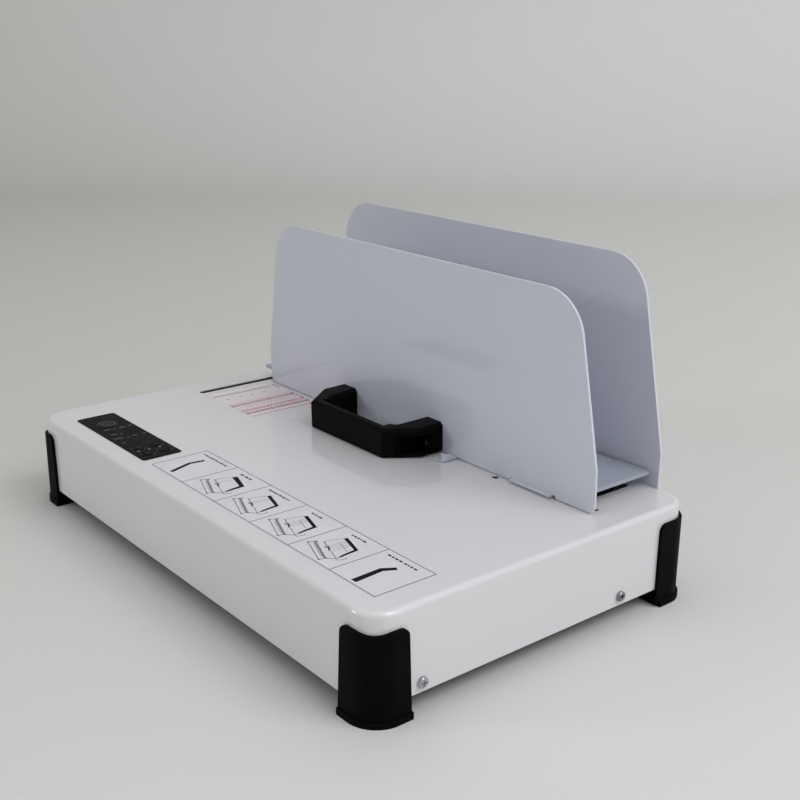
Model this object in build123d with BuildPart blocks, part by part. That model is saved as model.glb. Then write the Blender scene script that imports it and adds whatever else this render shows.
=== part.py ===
from build123d import *
from math import cos, pi, radians, sin, tan
import os

# Thermal binding machine: a sheet-metal case on four rubber corner feet, a fixed rear guide plate, and an
# L-shaped clamp carriage (front plate, handle and heated platen) that slides forward on two rods.
# Millimetres. Origin: centre of the footprint on the floor. +X right along the front, +Y back, +Z up.

os.makedirs("parts", exist_ok=True)

# ---- driving dimensions ----
case_x = 372.0
case_y = 232.0
skirt_z = 11.0  # lower edge of the case, above the floor
case_top = 60.0
sheet = 1.5  # steel sheet of case, base and plates
case_corner_r = 15.0
case_edge_r = 3.0
cover_gap = 0.2  # between nested sheets

bumper_t = 2.0
bumper_foot = 23.2  # length of the foot's arms, from the case corner
# leg along the front or rear wall, leg along the side wall, draft of their ends, top, sag at the corner,
# and spread of the foot at the floor
bumper_ends = {"front": (23.9, 23.6, 2.3, 50.2, 1.4, 0.8), "rear": (23.9, 26.6, 0.4, 51.0, 0.9, 1.3)}
bumper_sag_r = 27.0
bumper_ear_r = 4.6
bumper_shoulder_r = 8.0
foot_band = 13.0

front_face_y = 54.0  # front face of the front plate, at rest
plate_lean = 1.5  # degrees, top towards the front
plate_left, plate_right = -155.0, 168.0
plate_clear = 0.5  # carriage above the case top
plate_height = 122.5
plate_straight = 26.0  # the sides are upright this far, then run inwards
plate_taper = 0.18  # mm inwards per mm of height
plate_corner_r = 28.0
plate_foot_r = 5.0

rear_face_y = 113.0  # front face of the rear guide plate
rear_left, rear_right = -157.5, 164.5
rear_height = 134.0
rear_straight = 23.0
rear_taper = 0.207
rear_tab_xs = (-116.0, 3.5, 123.0)
rear_tab_w = 36.0
rear_tab_z = 30.0

travel = 40.0
slot_w = 5.6
left_slot = (-162.2, -4.0, 79.0)  # x, front end, rear end
right_slot = (147.8, 54.2, 105.0)

platen_top = 70.0
platen_t = 2.0
platen_left, platen_right = -167.0, 159.0
platen_front, platen_back = 56.0, 111.7
platen_notch = 1.7  # rear edge set forward over the heated length
heated_left, heated_right = -141.0, 134.0
tray_z = 62.0
tray_t = 1.0
heater_t = 2.0
insulation_t = 3.0

rod_r = 4.0
rod_z = 45.0
rod_xs = (-138.0, 122.0)
rod_front, rod_back = 6.0, 112.0
block_ys = (68.0, 96.0)
block_size = (20.0, 12.0, 15.5)
bushing_r = 5.5
running_fit = 0.04
carriage_z = 53.0
carriage_t = 2.0

handle_x = -12.0
handle_low, handle_high = 1.1, 19.7  # above the plate's lower edge, square to the plate
key_travel = 0.4
panel_left, panel_right = -157.4, -61.0
panel_front, panel_back = -102.0, -75.0
panel_corner_r = 2.0
overlay_t = 0.5
board_t = 1.6

inlet_x, switch_x, rear_port_z = 60.0, -60.0, 34.0


def write(builder, label):
    """Label a finished piece and write it as one STEP file."""
    builder.part.label = label
    export_step(builder.part, f"parts/{label}.step")


def screw_axis_plane(x, y, z, direction):
    """Plane at a screw's head seat, whose normal points the way the shank goes."""
    return Plane(origin=(x, y, z), z_dir=direction)


def pan_screw(plane, head_r, head_h, shank_r, length):
    """Pan-head screw with a cross recess. The head stands on the back of the plane, the shank in front."""
    with BuildPart() as screw:
        with BuildSketch(plane):
            Circle(shank_r)
        extrude(amount=length)
        with BuildSketch(plane):
            Circle(head_r)
        extrude(amount=-head_h)
        head_face = screw.faces().sort_by(Axis(plane.origin, plane.z_dir))[0]
        fillet(head_face.edges(), head_h * 0.45)
        with BuildSketch(plane.offset(-head_h)):
            Rectangle(head_r * 1.1, head_r * 0.26)
            Rectangle(head_r * 0.26, head_r * 1.1)
        extrude(amount=head_h * 0.5, mode=Mode.SUBTRACT)
    return screw


def write_group(builders, label):
    """Write several like pieces as one node of separate solids."""
    group = Compound(label=label, children=[b.part.solids()[0] for b in builders])
    export_step(group, f"parts/{label}.step")


# ---- case ----
back_y = case_y / 2
side_x = case_x / 2

key_places = {
    "power_key": (-137.5, -89.4, 6.2),
    "up_key": (-83.0, -82.0, 4.2),
    "down_key": (-83.0, -94.0, 4.2),
    "mode_key": (-71.0, -82.0, 4.2),
    "start_key": (-71.0, -94.0, 4.2),
}
stem_r = 1.6
led_places = [(x, y) for x in (-124.0, -106.0) for y in (-81.0, -88.5, -96.0)]
led_r = 1.5

cover_screw_ys = (-85.0, 58.8)
cover_screw_z = 16.7
screw_hole_r = 1.7
plate_foot_holes = ((92.3, 51.0, 2.2), (103.0, 56.2, 2.0), (137.8, 56.0, 2.0), (163.0, 61.4, 1.6))
undercut = 0.9  # the slots and these holes widen below the surface by this much
panel_screws = ((-150.0, -70.0), (-70.0, -70.0))

with BuildPart() as top_cover:
    with BuildSketch(Plane.XY.offset(skirt_z)):
        RectangleRounded(case_x, case_y, case_corner_r)
    extrude(amount=case_top - skirt_z)
    fillet(top_cover.faces().sort_by(Axis.Z)[-1].edges(), case_edge_r)
    with BuildSketch(Plane.XY.offset(skirt_z)):
        RectangleRounded(case_x - 2 * sheet, case_y - 2 * sheet, case_corner_r - sheet)
    extrude(amount=case_top - skirt_z - sheet, mode=Mode.SUBTRACT)
    # slots for the two risers of the carriage
    for slot_x, slot_front, slot_back in (left_slot, right_slot):
        with BuildSketch(Plane.XY.offset(case_top)):
            with Locations((slot_x, (slot_front + slot_back) / 2)):
                SlotOverall(slot_back - slot_front, slot_w, rotation=90)
        extrude(amount=-3 * sheet, mode=Mode.SUBTRACT)
    # slits for the tabs of the rear guide plate
    with BuildSketch(Plane.XY.offset(case_top)):
        with Locations(*[(x, rear_face_y + sheet / 2 - 0.05) for x in rear_tab_xs]):
            Rectangle(rear_tab_w + 0.6, sheet + 0.3)
    extrude(amount=-2 * sheet, mode=Mode.SUBTRACT)
    # key stems, indicator lights and the holes beside the front plate's foot
    with BuildSketch(Plane.XY.offset(case_top)):
        with Locations(*[(x, y) for x, y, _ in key_places.values()]):
            Circle(stem_r + 0.5)
        with Locations(*led_places):
            Circle(led_r + 0.3)
        for hole_x, hole_y, hole_r in plate_foot_holes:
            with Locations((hole_x, hole_y)):
                Circle(hole_r)
    extrude(amount=-3 * sheet, mode=Mode.SUBTRACT)
    slot_boxes = [
        (x, (front + back) / 2, slot_w / 2, (back - front) / 2) for x, front, back in (left_slot, right_slot)
    ]
    hole_boxes = [(x, y, r, r) for x, y, r in plate_foot_holes]
    lower_rims = [
        edge
        for edge in top_cover.edges().filter_by(lambda e: abs(e.center().Z - case_top + sheet) < 0.01)
        for x, y, half_x, half_y in slot_boxes + hole_boxes
        if abs(edge.center().X - x) < half_x + 0.1 and abs(edge.center().Y - y) < half_y + 0.1
    ]
    chamfer(lower_rims, undercut)
    # inlet and power switch in the rear wall
    with BuildSketch(Plane(origin=(0, back_y, rear_port_z), x_dir=(-1, 0, 0), z_dir=(0, 1, 0))):
        with Locations((-inlet_x, 0)):
            RectangleRounded(27.6, 20.4, 3)
        with Locations((-switch_x, 0)):
            Rectangle(19.2, 13.2)
        with Locations((-inlet_x - 20, 0), (-inlet_x + 20, 0)):
            Circle(screw_hole_r)
        with Locations(*[(-x + d, 5) for x in rear_tab_xs for d in (-11, 11)]):
            Circle(screw_hole_r)
    extrude(amount=-2 * sheet, mode=Mode.SUBTRACT)
    # screws that hold the cover to the base, in both side walls
    with BuildSketch(Plane.YZ):
        with Locations(*[(y, cover_screw_z) for y in cover_screw_ys]):
            Circle(screw_hole_r)
    extrude(amount=case_x, both=True, mode=Mode.SUBTRACT)
write(top_cover, "top_cover")

bumper_screw_places = ((168.5, 109.5), (179.5, 98.5))
board_x, board_y, board_z = 15.0, -45.0, 19.0
board_l, board_w = 150.0, 85.0
board_posts = [
    (board_x + dx * (board_l / 2 - 5), board_y + dy * (board_w / 2 - 5)) for dx in (-1, 1) for dy in (-1, 1)
]

flange_x = side_x - sheet - cover_gap
flange_top = 24.0
base_low = skirt_z - 0.8
rim_inset = 0.4
with BuildPart() as base_plate:
    # the rim lies under the walls of the case
    with BuildSketch(Plane.XY.offset(base_low)):
        RectangleRounded(case_x - 2 * rim_inset, case_y - 2 * rim_inset, case_corner_r - rim_inset)
    extrude(amount=skirt_z - base_low)
    with BuildSketch(Plane.XY.offset(skirt_z)):
        RectangleRounded(
            case_x - 2 * (sheet + cover_gap), case_y - 2 * (sheet + cover_gap), case_corner_r - sheet
        )
    extrude(amount=sheet)
    for side in (-1, 1):
        with BuildSketch(Plane.XY.offset(skirt_z)):
            with Locations((side * (flange_x - sheet / 2), 0)):
                Rectangle(sheet, case_y - 2 * case_corner_r - 6)
        extrude(amount=flange_top - skirt_z)
    with BuildSketch(Plane.YZ):
        with Locations(*[(y, cover_screw_z) for y in cover_screw_ys]):
            Circle(1.5)
    extrude(amount=case_x, both=True, mode=Mode.SUBTRACT)
    # air slots under the board and under the platen
    with BuildSketch(Plane.XY.offset(base_low)):
        with Locations((-120, 0), (118, -20)):
            with GridLocations(0, 9, 1, 9):
                SlotOverall(46, 4)
        with Locations(
            *[(sx * x, sy * y) for sx in (-1, 1) for sy in (-1, 1) for x, y in bumper_screw_places]
        ):
            Circle(1.9)
    extrude(amount=3 * sheet, mode=Mode.SUBTRACT)
write(base_plate, "base_plate")


def corner_bumper(sx, sy, leg_x, leg_y, draft, top, dip, flare):
    """Rubber corner guard: an L-shaped wall around the case corner on an L-shaped foot under it."""
    corner_x, corner_y = sx * (side_x + bumper_t), sy * (back_y + bumper_t)
    reach = bumper_foot + bumper_t
    with BuildPart() as bumper:
        with BuildSketch():
            RectangleRounded(case_x + 2 * bumper_t, case_y + 2 * bumper_t, case_corner_r + bumper_t)
            RectangleRounded(case_x, case_y, case_corner_r, mode=Mode.SUBTRACT)
        extrude(amount=top)
        with BuildSketch():
            with Locations((corner_x, corner_y)):
                Rectangle(2 * (leg_x + bumper_t), 2 * (leg_y + bumper_t))
        extrude(amount=top, taper=draft, mode=Mode.INTERSECT)
        # both legs have rounded ends
        ends = bumper.edges().filter_by(lambda e: e.length < bumper_t + 0.1)
        fillet(ends.filter_by(lambda e: abs(e.center().Z - top / 2) > top / 2 - 0.1), bumper_ear_r)
        # the upper edge sags round the corner
        sag_plane = Plane(origin=(0, 0, top - dip + bumper_sag_r), x_dir=(-sy, sx, 0), z_dir=(sx, sy, 0))
        outer_r = case_corner_r + bumper_t
        shift = sag_plane.to_local_coords(
            Vector(corner_x - sx * outer_r, corner_y - sy * outer_r, sag_plane.origin.Z)
        ).X
        with BuildSketch(sag_plane):
            with Locations((shift, 0)):
                Circle(bumper_sag_r)
        extrude(amount=2 * case_x, mode=Mode.SUBTRACT)
        across = bumper.edges().filter_by(Axis((0, 0, 0), (sx, sy, 0)))
        fillet(across.filter_by(lambda e: abs(e.center().Z - top) < 0.01), bumper_shoulder_r)
        # the foot spreads a little at the floor
        with BuildPart(mode=Mode.PRIVATE) as foot:
            with BuildSketch():
                RectangleRounded(
                    case_x + 2 * (bumper_t + flare),
                    case_y + 2 * (bumper_t + flare),
                    case_corner_r + bumper_t + flare,
                )
                with Locations((corner_x, corner_y)):
                    Rectangle(2 * (reach + flare), 2 * (reach + flare), mode=Mode.INTERSECT)
            extrude(amount=4.5)
            rim = foot.edges().group_by(Axis.Z)[-1]
            chamfer(rim.sort_by(lambda e: -sx * e.center().X - sy * e.center().Y)[:3], flare, 2.5)
            with BuildSketch():
                RectangleRounded(case_x - 2 * foot_band, case_y - 2 * foot_band, 5)
            extrude(amount=4.5, mode=Mode.SUBTRACT)
        add(foot.part)
        with BuildSketch():
            RectangleRounded(case_x + 2 * bumper_t, case_y + 2 * bumper_t, case_corner_r + bumper_t)
            RectangleRounded(case_x - 2 * foot_band, case_y - 2 * foot_band, 5, mode=Mode.SUBTRACT)
            with Locations((corner_x, corner_y)):
                Rectangle(2 * reach, 2 * reach, mode=Mode.INTERSECT)
        extrude(amount=base_low)
        # screws come up from below into the base plate
        with BuildSketch():
            with Locations(*[(sx * x, sy * y) for x, y in bumper_screw_places]):
                Circle(2.1)
        extrude(amount=base_low, mode=Mode.SUBTRACT)
        with BuildSketch():
            with Locations(*[(sx * x, sy * y) for x, y in bumper_screw_places]):
                Circle(4.2)
        extrude(amount=6, mode=Mode.SUBTRACT)
    return bumper


for end_name, sy in (("front", -1), ("rear", 1)):
    for side_name, sx in (("left", -1), ("right", 1)):
        write(corner_bumper(sx, sy, *bumper_ends[end_name]), f"corner_bumper_{end_name}_{side_name}")

write_group(
    [
        pan_screw(screw_axis_plane(sx * x, sy * y, 6, (0, 0, 1)), 3.6, 2.4, 1.85, 6.8)
        for sx in (-1, 1)
        for sy in (-1, 1)
        for x, y in bumper_screw_places
    ],
    "bumper_screws",
)
write_group(
    [
        pan_screw(screw_axis_plane(sx * side_x, y, cover_screw_z, (-sx, 0, 0)), 3.0, 2.2, 1.45, 6)
        for sx in (-1, 1)
        for y in cover_screw_ys
    ],
    "cover_screws",
)


def plate_points(left, right, height, straight, taper):
    """Corners of a guide plate: upright sides at the foot, then running inwards up to the upper corners."""
    inward = taper * (height - straight)
    upper_left, upper_right = (left + inward, height), (right - inward, height)
    return [(left, 0), (right, 0), (right, straight), upper_right, upper_left, (left, straight)]


# ---- rear guide plate, fixed ----
rear_plane = Plane(origin=(0, rear_face_y, case_top), x_dir=(1, 0, 0), z_dir=(0, -1, 0))
with BuildPart() as rear_guide_plate:
    with BuildSketch(rear_plane) as rear_outline:
        with BuildLine():
            Polyline(*plate_points(rear_left, rear_right, rear_height, rear_straight, rear_taper), close=True)
        make_face()
        fillet(rear_outline.vertices().group_by(Axis.Y)[-1], plate_corner_r)
        with Locations(*[(x, (rear_tab_z - case_top) / 2) for x in rear_tab_xs]):
            Rectangle(rear_tab_w, case_top - rear_tab_z)
    extrude(amount=-sheet)
    with BuildSketch(Plane(origin=(0, rear_face_y, rear_port_z), x_dir=(1, 0, 0), z_dir=(0, -1, 0))):
        with Locations(*[(x + d, 5) for x in rear_tab_xs for d in (-11, 11)]):
            Circle(1.5)
    extrude(amount=-sheet, mode=Mode.SUBTRACT)
write(rear_guide_plate, "rear_guide_plate")
write_group(
    [
        pan_screw(screw_axis_plane(x + d, back_y, rear_port_z + 5, (0, -1, 0)), 2.8, 2.0, 1.45, 4)
        for x in rear_tab_xs
        for d in (-11, 11)
    ],
    "rear_plate_screws",
)

# ---- labels and control panel ----
with BuildPart() as instruction_label:
    with BuildSketch(Plane.XY.offset(case_top)):
        with Locations((58.2, -81.4)):
            RectangleRounded(222.0, 40.0, 1.5)
    extrude(amount=0.2)
write(instruction_label, "instruction_label")

with BuildPart() as thickness_label:
    with BuildSketch(Plane.XY.offset(case_top)):
        with Locations((-123.0, 23.5)):
            RectangleRounded(59.0, 54.0, 1)
    extrude(amount=0.15)
write(thickness_label, "thickness_label")

panel_x, panel_y = (panel_left + panel_right) / 2, (panel_front + panel_back) / 2
with BuildPart() as control_overlay:
    with BuildSketch(Plane.XY.offset(case_top)):
        with Locations((panel_x, panel_y)):
            RectangleRounded(panel_right - panel_left, panel_back - panel_front, panel_corner_r)
        for key_x, key_y, key_r in key_places.values():
            with Locations((key_x, key_y)):
                Circle(key_r + 0.3, mode=Mode.SUBTRACT)
    extrude(amount=overlay_t)
write(control_overlay, "control_overlay")

switch_top = case_top - sheet - 0.6
board_low = switch_top - 5.0 - board_t
for key_name, (key_x, key_y, key_r) in key_places.items():
    with BuildPart() as key_cap:
        with BuildSketch(Plane.XY.offset(case_top + key_travel + 0.1)):
            with Locations((key_x, key_y)):
                Circle(key_r)
        extrude(amount=0.35)
        fillet(key_cap.faces().sort_by(Axis.Z)[-1].edges(), 0.2)
        with BuildSketch(Plane.XY.offset(switch_top + key_travel + 0.05)):
            with Locations((key_x, key_y)):
                Circle(stem_r)
        extrude(amount=case_top - switch_top + 0.2)
    write(key_cap, key_name)

with BuildPart() as control_board:
    with BuildSketch(Plane.XY.offset(board_low)):
        with Locations((panel_x, panel_y + 2)):
            Rectangle(100.0, 32.0)
        with Locations(*panel_screws):
            Circle(1.6, mode=Mode.SUBTRACT)
    extrude(amount=board_t)
write(control_board, "control_board")

with BuildPart() as key_switches:
    for key_x, key_y, _ in key_places.values():
        with BuildSketch(Plane.XY.offset(board_low + board_t)):
            with Locations((key_x, key_y)):
                Rectangle(6.0, 6.0)
        extrude(amount=3.6)
        with BuildSketch(Plane.XY.offset(board_low + board_t)):
            with Locations((key_x, key_y)):
                Circle(1.7)
        extrude(amount=5.0)
write(key_switches, "key_switches")

with BuildPart() as indicator_leds:
    for led_x, led_y in led_places:
        with BuildSketch(Plane.XY.offset(board_low + board_t)):
            with Locations((led_x, led_y)):
                Circle(led_r)
        extrude(amount=case_top - 0.4 - board_low - board_t)
write(indicator_leds, "indicator_leds")

with BuildPart() as panel_posts:
    for post_x, post_y in panel_screws:
        with BuildSketch(Plane.XY.offset(board_low + board_t)):
            with Locations((post_x, post_y)):
                Circle(3.0)
        extrude(amount=case_top - sheet - board_low - board_t)
        with BuildSketch(Plane.XY.offset(board_low)):
            with Locations((post_x, post_y)):
                Circle(1.55)
        extrude(amount=board_t)
write(panel_posts, "panel_posts")

# ---- guide rods and their brackets ----
for rod_x, rod_name in zip(rod_xs, ("guide_rod_left", "guide_rod_right")):
    with BuildPart() as guide_rod:
        with BuildSketch(Plane(origin=(rod_x, rod_front, rod_z), z_dir=(0, 1, 0))):
            Circle(rod_r)
        extrude(amount=rod_back - rod_front)
        chamfer(guide_rod.edges(), 0.6)
    write(guide_rod, rod_name)

bracket_t = 6.0
bracket_top = 51.5
bracket_foot = 3.0
base_top = skirt_z + sheet
with BuildPart() as rod_brackets:
    for rod_x in rod_xs:
        for bracket_y in (rod_front, rod_back - bracket_t):
            with BuildSketch(Plane.XY.offset(base_top)):
                with Locations((rod_x, bracket_y + bracket_t / 2)):
                    Rectangle(20.0, bracket_t)
            extrude(amount=bracket_top - base_top)
            with BuildSketch(Plane.XY.offset(base_top)):
                with Locations((rod_x, bracket_y - 5.0)):
                    Rectangle(20.0, 10.0)
            extrude(amount=bracket_foot)
        with BuildSketch(Plane(origin=(rod_x, rod_front - 1, rod_z), z_dir=(0, 1, 0))):
            Circle(rod_r + 0.02)
        extrude(amount=rod_back - rod_front + 2, mode=Mode.SUBTRACT)
write(rod_brackets, "rod_brackets")

stop_t = 3.4
stop_gap = 0.4
block_front = block_ys[0] - block_size[1] / 2
block_back = block_ys[-1] + block_size[1] / 2
with BuildPart() as travel_stops:
    for rod_x in rod_xs:
        for stop_y in (block_back + stop_gap, block_front - travel - stop_gap - stop_t):
            with BuildSketch(Plane(origin=(rod_x, stop_y, rod_z), z_dir=(0, 1, 0))):
                Circle(6.5)
                Circle(rod_r + 0.02, mode=Mode.SUBTRACT)
            extrude(amount=stop_t)
write(travel_stops, "travel_stops")

# ---- power electronics on the base ----
with BuildPart() as board_standoffs:
    for post_x, post_y in board_posts:
        with BuildSketch(Plane.XY.offset(base_top)):
            with Locations((post_x, post_y)):
                Circle(3.0)
        extrude(amount=board_z - base_top)
        with BuildSketch(Plane.XY.offset(board_z)):
            with Locations((post_x, post_y)):
                Circle(1.5)
        extrude(amount=3.2)
write(board_standoffs, "board_standoffs")

with BuildPart() as power_board:
    with BuildSketch(Plane.XY.offset(board_z)):
        with Locations((board_x, board_y)):
            Rectangle(board_l, board_w)
        with Locations(*board_posts):
            Circle(1.6, mode=Mode.SUBTRACT)
    extrude(amount=board_t)
write(power_board, "power_board")

board_top = board_z + board_t
with BuildPart() as transformer:
    with BuildSketch(Plane.XY.offset(board_top)):
        with Locations((board_x + 40, board_y - 12)):
            Rectangle(42.0, 36.0)
    extrude(amount=22)
    with BuildSketch(Plane.XY.offset(board_top + 4)):
        with Locations((board_x + 40, board_y - 12)):
            Rectangle(32.0, 46.0)
    extrude(amount=14)
    fillet(transformer.edges().filter_by(Axis.Z), 2)
write(transformer, "transformer")

with BuildPart() as relay:
    with BuildSketch(Plane.XY.offset(board_top)):
        with Locations((board_x - 5, board_y + 14)):
            Rectangle(29.0, 13.0)
    extrude(amount=16)
    fillet(relay.faces().sort_by(Axis.Z)[-1].edges(), 1)
write(relay, "heater_relay")

terminal_x, terminal_y = board_x + 45.0, board_y + 33.0
with BuildPart() as terminal_block:
    with BuildSketch(Plane.XY.offset(board_top)):
        with Locations((terminal_x, terminal_y)):
            Rectangle(45.0, 12.0)
    extrude(amount=13)
    with BuildSketch(Plane.XY.offset(board_top + 13)):
        with Locations((terminal_x, terminal_y)):
            with GridLocations(8.5, 0, 5, 1):
                Circle(2.6)
    extrude(amount=-7, mode=Mode.SUBTRACT)
write(terminal_block, "terminal_block")

with BuildPart() as buzzer:
    with BuildSketch(Plane.XY.offset(board_top)):
        with Locations((board_x - 50, board_y - 22)):
            Circle(7.0)
    extrude(amount=8)
    with BuildSketch(Plane.XY.offset(board_top + 8)):
        with Locations((board_x - 50, board_y - 22)):
            Circle(1.2)
    extrude(amount=-3, mode=Mode.SUBTRACT)
write(buzzer, "buzzer")

with BuildPart() as filter_capacitors:
    for cap_dx in (-28.0, -14.0):
        with BuildSketch(Plane.XY.offset(board_top)):
            with Locations((board_x + cap_dx, board_y - 22)):
                Circle(5.0)
        extrude(amount=20)
    fillet(filter_capacitors.faces().group_by(Axis.Z)[-1].edges(), 0.8)
write(filter_capacitors, "filter_capacitors")

# ---- mains inlet and power switch in the rear wall ----
inlet_depth = 24.0
with BuildPart() as inlet_housing:
    with BuildSketch(Plane(origin=(inlet_x, back_y, rear_port_z), x_dir=(-1, 0, 0), z_dir=(0, 1, 0))):
        RectangleRounded(50.0, 22.4, 4)
    extrude(amount=2.8)
    with BuildSketch(Plane(origin=(inlet_x, back_y, rear_port_z), x_dir=(-1, 0, 0), z_dir=(0, 1, 0))):
        RectangleRounded(27.2, 20.0, 3)
    extrude(amount=-(inlet_depth - 2.8))
    # socket mouth with two cut corners
    mouth_plane = Plane(origin=(inlet_x, back_y + 2.8, rear_port_z), x_dir=(-1, 0, 0), z_dir=(0, 1, 0))
    with BuildSketch(mouth_plane) as mouth:
        Rectangle(24.0, 16.4)
        chamfer(mouth.vertices().group_by(Axis.Y)[-1], 3.5)
    extrude(amount=-17, mode=Mode.SUBTRACT)
    with BuildSketch(Plane(origin=(inlet_x, back_y + 2.8, rear_port_z), x_dir=(-1, 0, 0), z_dir=(0, 1, 0))):
        with Locations((-20, 0), (20, 0)):
            Circle(1.7)
        with Locations((-7, -2), (0, 2), (7, -2)):
            Rectangle(2.0, 4.1)
    extrude(amount=-60, mode=Mode.SUBTRACT)
write(inlet_housing, "inlet_housing")

with BuildPart() as inlet_pins:
    pin_plane = Plane(origin=(inlet_x, back_y + 2.8, rear_port_z), x_dir=(-1, 0, 0), z_dir=(0, 1, 0))
    with BuildSketch(pin_plane.offset(-3)):
        with Locations((-7, -2), (0, 2), (7, -2)):
            Rectangle(2.0, 4.0)
    extrude(amount=-28)
write(inlet_pins, "inlet_pins")

write_group(
    [
        pan_screw(screw_axis_plane(inlet_x + d, back_y + 2.8, rear_port_z, (0, -1, 0)), 2.7, 1.8, 1.5, 8)
        for d in (-20, 20)
    ],
    "inlet_screws",
)

trunnion_r, trunnion_out = 1.0, 1.2
switch_plane = Plane(origin=(switch_x, back_y, rear_port_z), x_dir=(-1, 0, 0), z_dir=(0, 1, 0))
with BuildPart() as switch_housing:
    with BuildSketch(switch_plane):
        RectangleRounded(21.0, 15.0, 1)
    extrude(amount=1.8)
    with BuildSketch(switch_plane):
        Rectangle(18.8, 12.8)
    extrude(amount=-14)
    with BuildSketch(switch_plane.offset(1.8)):
        Rectangle(15.6, 10.8)
    extrude(amount=-9.4, mode=Mode.SUBTRACT)
    with BuildSketch(Plane(origin=(switch_x, back_y - 1.2, rear_port_z), z_dir=(0, 0, 1))):
        Circle(trunnion_r + 0.06)
    extrude(amount=6.4, both=True, mode=Mode.SUBTRACT)
write(switch_housing, "switch_housing")

# the rocker lies in its off position, tipped about an upright axis on two trunnions
rocker_tip = 7.0
rocker_axis_y = back_y - 1.2
rocker_half, rocker_w = 7.0, 10.0
tip = radians(rocker_tip)
rocker_plane = Plane(
    origin=(switch_x, rocker_axis_y, rear_port_z - rocker_w / 2),
    x_dir=(cos(tip), sin(tip), 0),
    z_dir=(0, 0, 1),
)
with BuildPart() as switch_rocker:
    with BuildSketch(rocker_plane):
        with BuildLine():
            Polyline(
                (-rocker_half, 4.0),
                (0, 3.0),
                (rocker_half, 4.0),
                (rocker_half, -0.3),
                (2.5, -4.5),
                (-2.5, -4.5),
                (-rocker_half, -0.3),
                close=True,
            )
        make_face()
    extrude(amount=rocker_w)
    with BuildSketch(rocker_plane.offset(-trunnion_out)):
        Circle(trunnion_r)
    extrude(amount=rocker_w + 2 * trunnion_out)
write(switch_rocker, "switch_rocker")

# ---- clamp carriage: front plate ----
lean = radians(plate_lean)
plate_up = (0, -sin(lean), cos(lean))
plate_front = (0, -cos(lean), -sin(lean))
plate_low = case_top + plate_clear
face_plane = Plane(origin=(0, front_face_y, plate_low), x_dir=(1, 0, 0), z_dir=plate_front)
plan_plane = Plane(origin=(handle_x, front_face_y, plate_low), x_dir=(1, 0, 0), z_dir=plate_up)

screw_dx, screw_dz = 46.8, 6.5  # handle screws, from the handle's middle and the plate's lower edge
screw_r, screw_bore_r = 1.75, 1.9
handle_screw_xs = (handle_x - screw_dx, handle_x + screw_dx)
lip_left, lip_right, lip_out = 103.5, 136.0, 2.6
flange_left, flange_right, flange_back = -148.0, 128.0, 68.0
rivet_xs = (-130.0, -78.0, -26.0, 26.0, 78.0, 118.0)
rivet_y, rivet_r = 63.0, 1.6

with BuildPart() as front_plate:
    with BuildSketch(face_plane) as front_outline:
        with BuildLine():
            Polyline(
                *plate_points(plate_left, plate_right, plate_height, plate_straight, plate_taper), close=True
            )
        make_face()
        fillet(front_outline.vertices().group_by(Axis.Y)[-1], plate_corner_r)
        fillet(front_outline.vertices().group_by(Axis.Y)[0], plate_foot_r)
        with Locations((lip_left - 1.2, 0.4), (lip_right + 1.2, 0.4)):
            Circle(1.3, mode=Mode.SUBTRACT)
        with Locations(*[(x, screw_dz) for x in handle_screw_xs]):
            Circle(screw_bore_r, mode=Mode.SUBTRACT)
    extrude(amount=-sheet)
    # foot flange under the tray, and the short lip on the front
    with BuildSketch(Plane.XY.offset(plate_low)):
        with Locations(((flange_left + flange_right) / 2, (front_face_y + flange_back) / 2 + 0.5)):
            Rectangle(flange_right - flange_left, flange_back - front_face_y - 1)
        with Locations(*[(x, rivet_y) for x in rivet_xs]):
            Circle(rivet_r, mode=Mode.SUBTRACT)
        with Locations((lip_left - 0.5, front_face_y + 2.2)):
            Circle(2.2, mode=Mode.SUBTRACT)
    extrude(amount=sheet)
    with BuildSketch(Plane.XY.offset(plate_low + 0.6)):
        with Locations(((lip_left + lip_right) / 2, front_face_y - lip_out / 2 + 0.3)):
            Rectangle(lip_right - lip_left, lip_out + 0.6)
    extrude(amount=1.3)
write(front_plate, "front_plate")

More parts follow.
